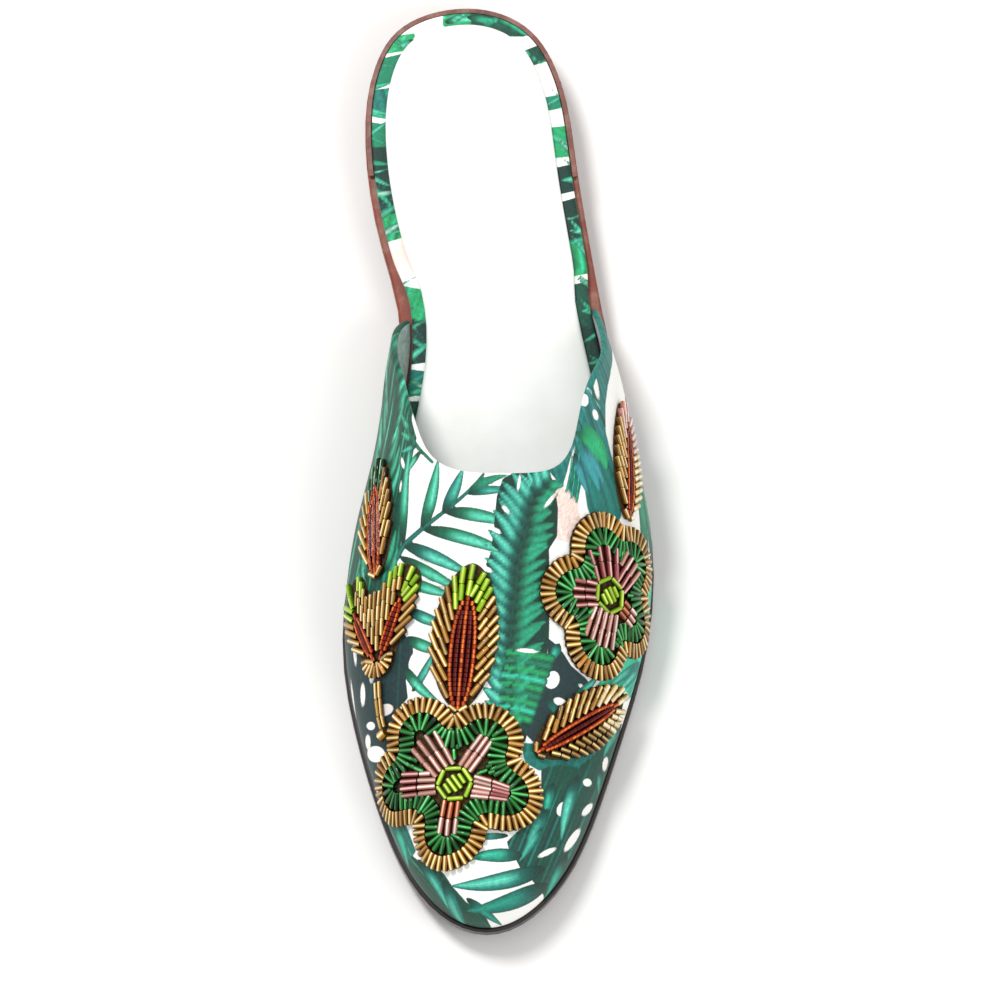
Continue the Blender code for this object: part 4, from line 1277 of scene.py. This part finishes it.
def glassMaterial():
    # Silver-lined glass: each bead's colour has painted shade at its flanks and a painted highlight streak along its
    # back, with a sharp gloss over all
    made, tree, shader = newMaterial(
        "silverLinedGlass", Roughness=0.28, Coat_Weight=0.3, Coat_Roughness=0.05, Coat_IOR=1.5
    )
    shader.inputs["Specular IOR Level"].default_value = 0.15
    paintedLightCore = addNode(tree, "ShaderNodeAttribute", attribute_name="paintedLightCore").outputs["Fac"]
    paintedHighlightStrength = addNode(tree, "ShaderNodeAttribute", attribute_name="paintedHighlightStrength").outputs["Fac"]
    # the painted shade colour of the flanks, the body colour and the painted highlight colour of the streak
    deep, body, shine = (
        addNode(tree, "ShaderNodeAttribute", attribute_name=name).outputs["Color"]
        for name in ("paintedShadeTint", "bodyTint", "paintedHighlightTint")
    )
    # painted shade at the flanks gives way to the body colour, then a painted highlight streak runs along the back
    fromPaintedShade = addNode(tree, "ShaderNodeMapRange", {"Value": paintedLightCore, "From Min": 0.35, "From Max": 0.88}).outputs[0]
    toPaintedHighlight = addNode(tree, "ShaderNodeMapRange", {"Value": paintedLightCore, "From Min": 0.82, "From Max": 0.97}).outputs[0]
    streak = addNode(tree, "ShaderNodeMath", {0: toPaintedHighlight, 1: paintedHighlightStrength}, operation="MULTIPLY").outputs[0]
    colour = addNode(tree, "ShaderNodeMix", {0: fromPaintedShade, 6: deep, 7: body}, data_type="RGBA").outputs[2]
    colour = addNode(tree, "ShaderNodeMix", {0: streak, 6: colour, 7: shine}, data_type="RGBA").outputs[2]
    tree.links.new(colour, shader.inputs["Base Color"])
    return made


def shadeSheetMaterial():
    # Painted shade between the beads: a dark, matt sheet under each motif that stands in for the shadow seen in the
    # gaps
    made, tree, shader = newMaterial("paintedShadeSheet", Roughness=0.95)
    where = addNode(tree, "ShaderNodeTexCoord").outputs["Object"]
    shadeNoise = addNode(tree, "ShaderNodeTexNoise", {"Vector": where, "Scale": 1200.0, "Detail": 2.0})
    shade = addNode(tree, "ShaderNodeValToRGB", {"Fac": shadeNoise.outputs["Fac"]})
    setStops(shade, [(0.35, "#2a1d08"), (0.65, "#523c18")])
    tree.links.new(shade.outputs["Color"], shader.inputs["Base Color"])
    return made


def addShadeSheet(shape, outline, centre):
    # A thin dark patch with the motif's outline, laid on the cloth, that paints the shade between the beads
    outline = np.array(outline)
    centre = np.array(centre, float)
    count, rings = len(outline), 6
    levels = []
    for lift in beads["shadeSheet"]:
        middle = shape.verts.new(onVamp([centre[0]], [centre[1]], np.array([lift]))[0][0])
        loops = []
        for k in range(1, rings + 1):
            loop = centre + (outline - centre) * (k / rings)
            places, _ = onVamp(loop[:, 0], loop[:, 1], np.full(count, lift))
            loops.append([shape.verts.new(place) for place in places])
        levels.append((middle, loops))
    made = []
    for level, (middle, loops) in enumerate(levels):
        for i in range(count):
            j = (i + 1) % count
            flip = -1 if level == 0 else 1
            made.append(shape.faces.new((middle, loops[0][i], loops[0][j])[::flip]))
            for low, high in zip(loops, loops[1:], strict=False):
                made.append(shape.faces.new((low[i], high[i], high[j], low[j])[::flip]))
    bottom, top = levels[0][1][-1], levels[1][1][-1]
    for i in range(count):
        j = (i + 1) % count
        made.append(shape.faces.new((bottom[i], bottom[j], top[j], top[i])))
    for face in made:
        face.material_index = 1
        face.smooth = True


def leafOutline(leaf, inset=0.35, count=72):
    way = math.radians(leaf["way"])
    f, r = np.array([math.cos(way), math.sin(way)]), np.array([math.sin(way), -math.cos(way)])
    line = []
    for i in range(count):
        a = -2 * math.pi * i / count
        c, s = math.cos(a), math.sin(a)
        t = math.copysign(abs(s) ** (2 / 1.8), s) * (leaf["width"] / 2 - inset)
        along = leaf["length"] / 2 + math.copysign(abs(c) ** (2 / 1.8), c) * (leaf["length"] / 2 - inset)
        line.append(np.array(leaf["base"]) + f * along + r * t)
    return line


def sewBeads(name, rows, node, outline, centre, tree, shape, finish, shadeSheet):
    x, y, way, long, thick, colours, lifts = (list(column) for column in zip(*trimmed(rows), strict=True))
    x, y, way, long, thick = (np.array(v, float) for v in (x, y, way, long, thick))
    rng = np.random.default_rng(beads["random"] + len(rows))
    way = way + rng.normal(0, 0.03, len(x))
    lift = beads["lift"] + np.array(lifts) + rng.uniform(-0.05, 0.05, len(x))
    centres, normal = onVamp(x, y, lift)
    dx, dy = 0.5 * long * np.cos(way), 0.5 * long * np.sin(way)
    ends = [onVamp(x + sign * dx, y + sign * dy, 0 * lift)[0] for sign in (1, -1)]
    axis = ends[0] - ends[1]
    axis /= np.linalg.norm(axis, axis=1, keepdims=True)
    mesh = bpy.data.meshes.new(name)
    mesh.from_pydata(centres.tolist(), [], [])
    for key, values in (("axis", axis), ("up", normal), ("beadSize", np.stack([thick, thick, long], 1))):
        stored = mesh.attributes.new(key, "FLOAT_VECTOR", "POINT")
        stored.data.foreach_set("vector", values.astype(np.float32).ravel())
    strength = np.exp(rng.normal(0, [tints[colour][3] for colour in colours]))
    # per bead: the painted shade of the flanks, the body colour and the painted highlight of the streak
    for key, part in (("paintedShadeTint", 0), ("bodyTint", 1), ("paintedHighlightTint", 2)):
        values = np.array([hexColour(tints[colour][part]) for colour in colours], np.float32)
        values[:, :3] = np.clip(values[:, :3] * strength[:, None], 0, 0.98)
        mesh.attributes.new(key, "FLOAT_COLOR", "POINT").data.foreach_set("color", values.ravel())
    # how strong each bead's painted highlight streak is
    paintedHighlightStrength = np.array([tints[colour][4] for colour in colours])
    paintedHighlightStrength = np.clip(paintedHighlightStrength * rng.uniform(0.15, 1.9, len(x)), 0.05, 1.0).astype(np.float32)
    mesh.attributes.new("paintedHighlightStrength", "FLOAT", "POINT").data.foreach_set("value", paintedHighlightStrength)
    points = addObject(name + "Points", mesh)
    made = points.modifiers.new("beads", "NODES")
    made.node_group = tree
    sockets = {item.name: item.identifier for item in tree.interface.items_tree if item.in_out == "INPUT"}
    made[sockets["Bead"]] = shape
    made[sockets["Finish"]] = finish
    made[sockets["Thickness"]] = 0.001  # the sizes are in millimetres
    bpy.context.view_layer.update()
    whole = bpy.data.meshes.new_from_object(points.evaluated_get(bpy.context.evaluated_depsgraph_get()))
    whole.name = name
    bpy.data.objects.remove(points)
    whole.materials.clear()
    whole.materials.append(finish)
    whole.materials.append(shadeSheet)
    whole.polygons.foreach_set("material_index", np.zeros(len(whole.polygons), np.int32))
    # a dark sheet under the motif paints the shade between its beads
    if outline is not None:
        joined = bmesh.new()
        joined.from_mesh(whole)
        addShadeSheet(joined, outline, centre)
        joined.to_mesh(whole)
        joined.free()
    whole.set_sharp_from_angle(angle=math.radians(50))
    piece = bpy.data.objects.new(name, whole)
    bpy.context.scene.collection.objects.link(piece)
    return addPiece(piece, "glass_beads", node)


def sewMotifs():
    made = []
    for name, flower in (("flowerToe", toeFlower), ("flowerSide", sideFlower)):
        outline = lobeOutline(flower["centre"], flower["lobes"], 0.35, petalWidth, 144)
        made.append((name, flowerBeads(flower), flower["node"], outline, flower["centre"]))
    outline = lobeOutline(fan["centre"], fan["lobes"], 0.35, fan["width"], 144)
    made.append(("leafFan", fanBeads(), fan["node"], outline, fan["centre"]))
    made.append(("beadStem", stemBeads(), "bead_stem", None, None))
    for name, leaf in leaves.items():
        way = math.radians(leaf["way"])
        centre = np.array(leaf["base"]) + leaf["length"] / 2 * np.array([math.cos(way), math.sin(way)])
        made.append((name, leafBeads(leaf), leaf["node"], leafOutline(leaf), centre))
    shape, tree, finish, shadeSheet = beadShape(beads["sides"]), beadTree(), glassMaterial(), shadeSheetMaterial()
    for name, rows, node, outline, centre in made:
        sewBeads(name, rows, node, outline, centre, tree, shape, finish, shadeSheet)
    bpy.data.objects.remove(shape)
    print("beadwork sewn:", sum(len(rows) for _, rows, _, _, _ in made), "beads")


sewMotifs()


# Padded sock and the printed wrap of the board under it

slabs = {
    "rows": 92,
    "crown": 0.0012,
    "wrapRows": 620,
    "rand": 0.0012,
    "sockMargin": 0.0036,
    "boardRounding": 0.0005,
}


def boardInset(turns):
    front = last["ledge"] + last["wall"] + last["gap"]
    rear = slabs["rand"] + 2 * last["gap"]
    share = shareOf(-last["length"] / 2 * np.cos(turns))
    return front + (rear - front) * smoothStep((share - 0.676) / 0.05)


def sockInset(turns):
    share = shareOf(-last["length"] / 2 * np.cos(turns))
    return boardInset(turns) + slabs["sockMargin"] * (0.45 + 0.55 * smoothStep(share / 0.150))


def slabMesh(name, turns, base, rim, shares, rise):
    # A closed slab inside the sole's outline: its rim is a list of inset and height, from underneath
    # round to the top, and its top runs between the sides at the given shares of the width
    shape = bmesh.new()
    loops = []
    for inset, lift in rim:
        medial = insetPoint(turns, -1, base + inset)
        lateral = insetPoint(turns, 1, base + inset)
        plan = np.concatenate([medial, lateral[::-1][1:-1]])
        height = soleBottom(plan[:, 1]) + last["soleThickness"] + last["gap"] + lift
        loops.append([shape.verts.new((x, y, z)) for (x, y), z in zip(plan, height, strict=True)])
    count = len(loops[0])
    for low, high in zip(loops, loops[1:], strict=False):
        for i in range(count):
            j = (i + 1) % count
            shape.faces.new((low[i], low[j], high[j], high[i]))
    rows = len(turns) - 1
    for loop, lifted in ((loops[-1], rise), (loops[0], None)):
        left = [loop[i] for i in range(rows + 1)]
        right = [loop[0], *[loop[-i] for i in range(1, rows)], loop[rows]]
        grid = []
        for a, b in zip(left, right, strict=True):
            row = [a]
            if a is not b:
                width = (a.co - b.co).length
                for t in shares if lifted else shares[:: len(shares) // 2]:
                    place = a.co.lerp(b.co, t)
                    lift = lifted(t, width) if lifted else 0.0
                    row.append(shape.verts.new((place.x, place.y, place.z + lift)))
                row.append(b)
            grid.append(row)
        for low, high in zip(grid, grid[1:], strict=False):
            if len(low) == 1 or len(high) == 1:
                pole, row = (low[0], high) if len(low) == 1 else (high[0], low)
                for a, b in zip(row, row[1:], strict=False):
                    shape.faces.new((pole, a, b))
                continue
            for k in range(len(low) - 1):
                shape.faces.new((low[k], low[k + 1], high[k + 1], high[k]))
    bmesh.ops.recalc_face_normals(shape, faces=shape.faces)
    mesh = bpy.data.meshes.new(name)
    shape.to_mesh(mesh)
    shape.free()
    mesh.shade_smooth()
    return mesh


def makeSock(finish):
    turns = np.linspace(0, math.pi, slabs["rows"] + 1)
    floor, thick = last["boardThickness"] + last["gap"], last["sockThickness"]
    rim = ((0.0006, 0.0), (0.0, 0.0004), (0.0001, 0.0010), (0.0006, 0.0015), (0.0014, thick + 0.0002))

    def crowned(t, width):
        return slabs["crown"] * (1 - abs(2 * t - 1) ** 4) * min(1.0, width / 0.03)

    mesh = slabMesh(
        "sockPad", turns, sockInset(turns), [(a, b + floor) for a, b in rim], np.linspace(0, 1, 16)[1:-1], crowned
    )
    made = addPiece(addObject("sockPad", mesh, finish), "white_sock", "sock")
    return made


def sockMaterial():
    # Soft white lining leather over thin foam: fine pores, low gloss
    made, tree, shader = newMaterial("whiteSockLeather", Roughness=0.48, Sheen_Weight=0.05)
    where = addNode(tree, "ShaderNodeTexCoord").outputs["Object"]
    pores = addNode(tree, "ShaderNodeTexVoronoi", {"Vector": where, "Scale": 1100.0})
    soft = addNode(tree, "ShaderNodeTexNoise", {"Vector": where, "Scale": 60.0, "Detail": 3.0})
    shade = addNode(tree, "ShaderNodeValToRGB", {"Fac": soft.outputs["Fac"]})
    setStops(shade, [(0.3, "#f1f0ec"), (0.7, "#fbfbf9")])
    tree.links.new(shade.outputs["Color"], shader.inputs["Base Color"])
    bump = addNode(tree, "ShaderNodeBump", {"Strength": 0.18, "Distance": 0.0001, "Height": pores.outputs["Distance"]})
    tree.links.new(bump.outputs[0], shader.inputs["Normal"])
    return made


def makeBoardWrap(finish):
    turns = np.linspace(0, math.pi, slabs["wrapRows"] + 1)
    thick, round_ = last["boardThickness"], slabs["boardRounding"]
    rim = [(0.0004, 0.0), (0.0, 0.0004), (0.0, thick - round_), (0.3 * round_, thick - 0.3 * round_)]
    rim += [(round_ + 0.0007 * k, thick) for k in range(8)]
    mesh = slabMesh("boardWrap", turns, boardInset(turns), rim, (0.25, 0.5, 0.75), lambda t, width: 0.0)
    points = np.zeros(len(mesh.vertices) * 3)
    mesh.vertices.foreach_get("co", points)
    points = points.reshape(-1, 3)
    unit = 3.783
    planX = 695.4 + unit * points[:, 0] * 1000
    planY = 485.4 - unit * (0.951 * points[:, 1] + 0.309 * points[:, 2]) * 1000
    storePrint(mesh, paintBorder(planX, planY), points * 1000, len(points))
    return addPiece(addObject("boardWrap", mesh, finish), "leaf_print_cloth", "insole_board")


makeSock(sockMaterial())
makeBoardWrap(printedCloth)
print("sock and board wrap made")


# Finishes of the sole's solids


def soleMaterial():
    # Veg-tanned sole leather with a stained, burnished edge and fine layers along it: red-brown at the heel, with
    # painted shade that darkens it to nearly black round the toe
    made, tree, shader = newMaterial("burnishedSoleLeather", Roughness=0.36, Coat_Weight=0.25, Coat_Roughness=0.3)
    where = addNode(tree, "ShaderNodeTexCoord").outputs["Object"]
    parts = addNode(tree, "ShaderNodeSeparateXYZ", {0: where})
    # 0 at the toe, where the edge gets painted shade, rising to 1 at the heel; it also scales the wear below
    toeShadeToHeel = addNode(
        tree, "ShaderNodeMapRange",
        {"Value": parts.outputs["Y"], "From Min": -0.035, "From Max": 0.045, "To Min": 0.0, "To Max": 1.0},
    )  # fmt: skip
    # painted shade: the stain darkens from red-brown at the heel to nearly black at the toe
    stain = addNode(tree, "ShaderNodeValToRGB", {"Fac": toeShadeToHeel.outputs[0]})
    setStops(stain, [(0.0, "#1c100c"), (0.5, "#4a2218"), (1.0, "#7d3018")])
    squeezed = addNode(tree, "ShaderNodeMapping", {"Vector": where, "Scale": (60, 60, 1400)}).outputs[0]
    layers = addNode(tree, "ShaderNodeTexNoise", {"Vector": squeezed, "Scale": 1.0, "Detail": 3.0})
    gain = addNode(
        tree, "ShaderNodeMapRange",
        {"Value": layers.outputs["Fac"], "From Min": 0.3, "From Max": 0.7, "To Min": 0.75, "To Max": 1.3},
    ).outputs[0]  # fmt: skip
    colour = addNode(tree, "ShaderNodeVectorMath", {0: stain.outputs["Color"], "Scale": gain}, operation="SCALE").outputs[0]
    # Where the edge was buffed the stain is thin and the paler leather comes through
    buffed = addNode(tree, "ShaderNodeTexNoise", {"Vector": where, "Scale": 130.0, "Detail": 4.0, "Roughness": 0.7})
    worn = addNode(
        tree, "ShaderNodeMapRange",
        {"Value": buffed.outputs["Fac"], "From Min": 0.46, "From Max": 0.72, "To Min": 0.0, "To Max": 0.65},
    ).outputs[0]  # fmt: skip
    worn = addNode(tree, "ShaderNodeMath", {0: worn, 1: toeShadeToHeel.outputs[0]}, operation="MULTIPLY").outputs[0]
    colour = addNode(
        tree, "ShaderNodeMix", {0: worn, 6: colour, 7: hexColour("#a9806c")}, data_type="RGBA"
    ).outputs[2]
    tree.links.new(colour, shader.inputs["Base Color"])
    bump = addNode(tree, "ShaderNodeBump", {"Strength": 0.25, "Distance": 0.0001, "Height": layers.outputs["Fac"]})
    tree.links.new(bump.outputs[0], shader.inputs["Normal"])
    return made


def heelMaterial():
    # Stacked leather of the heel and rand, stained red-brown and waxed
    made, tree, shader = newMaterial("stackedHeelLeather", Roughness=0.4, Coat_Weight=0.2, Coat_Roughness=0.3)
    where = addNode(tree, "ShaderNodeTexCoord").outputs["Object"]
    squeezed = addNode(tree, "ShaderNodeMapping", {"Vector": where, "Scale": (40, 40, 900)})
    layers = addNode(tree, "ShaderNodeTexNoise", {"Vector": squeezed.outputs[0], "Scale": 1.0, "Detail": 4.0})
    stain = addNode(tree, "ShaderNodeValToRGB", {"Fac": layers.outputs["Fac"]})
    setStops(stain, [(0.3, "#54241a"), (0.7, "#8a4630")])
    buffed = addNode(tree, "ShaderNodeTexNoise", {"Vector": where, "Scale": 150.0, "Detail": 5.0, "Roughness": 0.7})
    worn = addNode(
        tree, "ShaderNodeMapRange",
        {"Value": buffed.outputs["Fac"], "From Min": 0.42, "From Max": 0.70, "To Min": 0.0, "To Max": 0.7},
    ).outputs[0]  # fmt: skip
    colour = addNode(
        tree, "ShaderNodeMix", {0: worn, 6: stain.outputs["Color"], 7: hexColour("#a4806f")}, data_type="RGBA"
    ).outputs[2]
    tree.links.new(colour, shader.inputs["Base Color"])
    bump = addNode(tree, "ShaderNodeBump", {"Strength": 0.3, "Distance": 0.0001, "Height": layers.outputs["Fac"]})
    tree.links.new(bump.outputs[0], shader.inputs["Normal"])
    return made


def rubberMaterial():
    # Moulded black heel rubber: dull, with a fine pebble
    made, tree, shader = newMaterial("mouldedRubber", Roughness=0.8)
    shader.inputs["Base Color"].default_value = hexColour("#1d1b1a")
    where = addNode(tree, "ShaderNodeTexCoord").outputs["Object"]
    pebble = addNode(tree, "ShaderNodeTexNoise", {"Vector": where, "Scale": 1500.0, "Detail": 2.0})
    bump = addNode(tree, "ShaderNodeBump", {"Strength": 0.3, "Distance": 0.0001, "Height": pebble.outputs["Fac"]})
    tree.links.new(bump.outputs[0], shader.inputs["Normal"])
    return made


def dress(node, finish):
    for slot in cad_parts[node].material_slots:
        slot.material = finish


heelFinish = heelMaterial()
dress("outsole", soleMaterial())
dress("heel_lift", heelFinish)
dress("heel_rand", heelFinish)
dress("heel_top_piece", rubberMaterial())
print("sole finished")


# Floor, light and camera

studio = {
    "floor": "#f3f2f0",
    "world": "#ffffff",
    "worldStrength": 0.62,
    "elevation": 72.0,
    "distance": 8.0,
    "target": (0.0005, -0.0083, 0.010),
    "pixelsPerMetre": 3797.0,
}


def makeFloor():
    shape = bmesh.new()
    for corner in ((-3, -3), (3, -3), (3, 3), (-3, 3)):
        shape.verts.new((*corner, -0.00005))
    shape.faces.new(shape.verts)
    mesh = bpy.data.meshes.new("floor")
    shape.to_mesh(mesh)
    shape.free()
    made, _, shader = newMaterial("paleFloor", Roughness=0.8)
    shader.inputs["Base Color"].default_value = hexColour(studio["floor"])
    shader.inputs["Specular IOR Level"].default_value = 0.2
    addObject("floor", mesh, made)


def addLight(name, place, size, power, colour="#ffffff"):
    data = bpy.data.lights.new(name, "AREA")
    data.shape = "DISK"
    data.size = size
    data.energy = power
    data.color = hexColour(colour)[:3]
    made = bpy.data.objects.new(name, data)
    made.location = place
    made.rotation_mode = "QUATERNION"
    made.rotation_quaternion = (Vector(studio["target"]) - Vector(place)).to_track_quat("-Z", "Y")
    bpy.context.scene.collection.objects.link(made)


def makeCamera():
    data = bpy.data.cameras.new("camera")
    data.sensor_width = 36
    data.lens = studio["pixelsPerMetre"] * studio["distance"] / 1000 * 36
    made = bpy.data.objects.new("camera", data)
    tilt = math.radians(studio["elevation"])
    back = Vector((0, -math.cos(tilt), math.sin(tilt)))
    made.location = Vector(studio["target"]) + back * studio["distance"]
    made.rotation_mode = "QUATERNION"
    made.rotation_quaternion = (-back).to_track_quat("-Z", "Y")
    data.clip_start, data.clip_end = 0.05, 20
    bpy.context.scene.collection.objects.link(made)
    bpy.context.scene.camera = made


makeFloor()
addLight("keyLight", (-0.55, 0.55, 1.5), 0.45, 17)
addLight("fillLight", (0.9, -0.7, 1.3), 0.9, 7)
world = bpy.data.worlds.new("softStudio")
world.use_nodes = True
backdrop = world.node_tree.nodes["Background"]
backdrop.inputs["Color"].default_value = hexColour(studio["world"])
backdrop.inputs["Strength"].default_value = studio["worldStrength"]
bpy.context.scene.world = world
bpy.context.scene.view_settings.view_transform = "Standard"
makeCamera()
print("studio set")
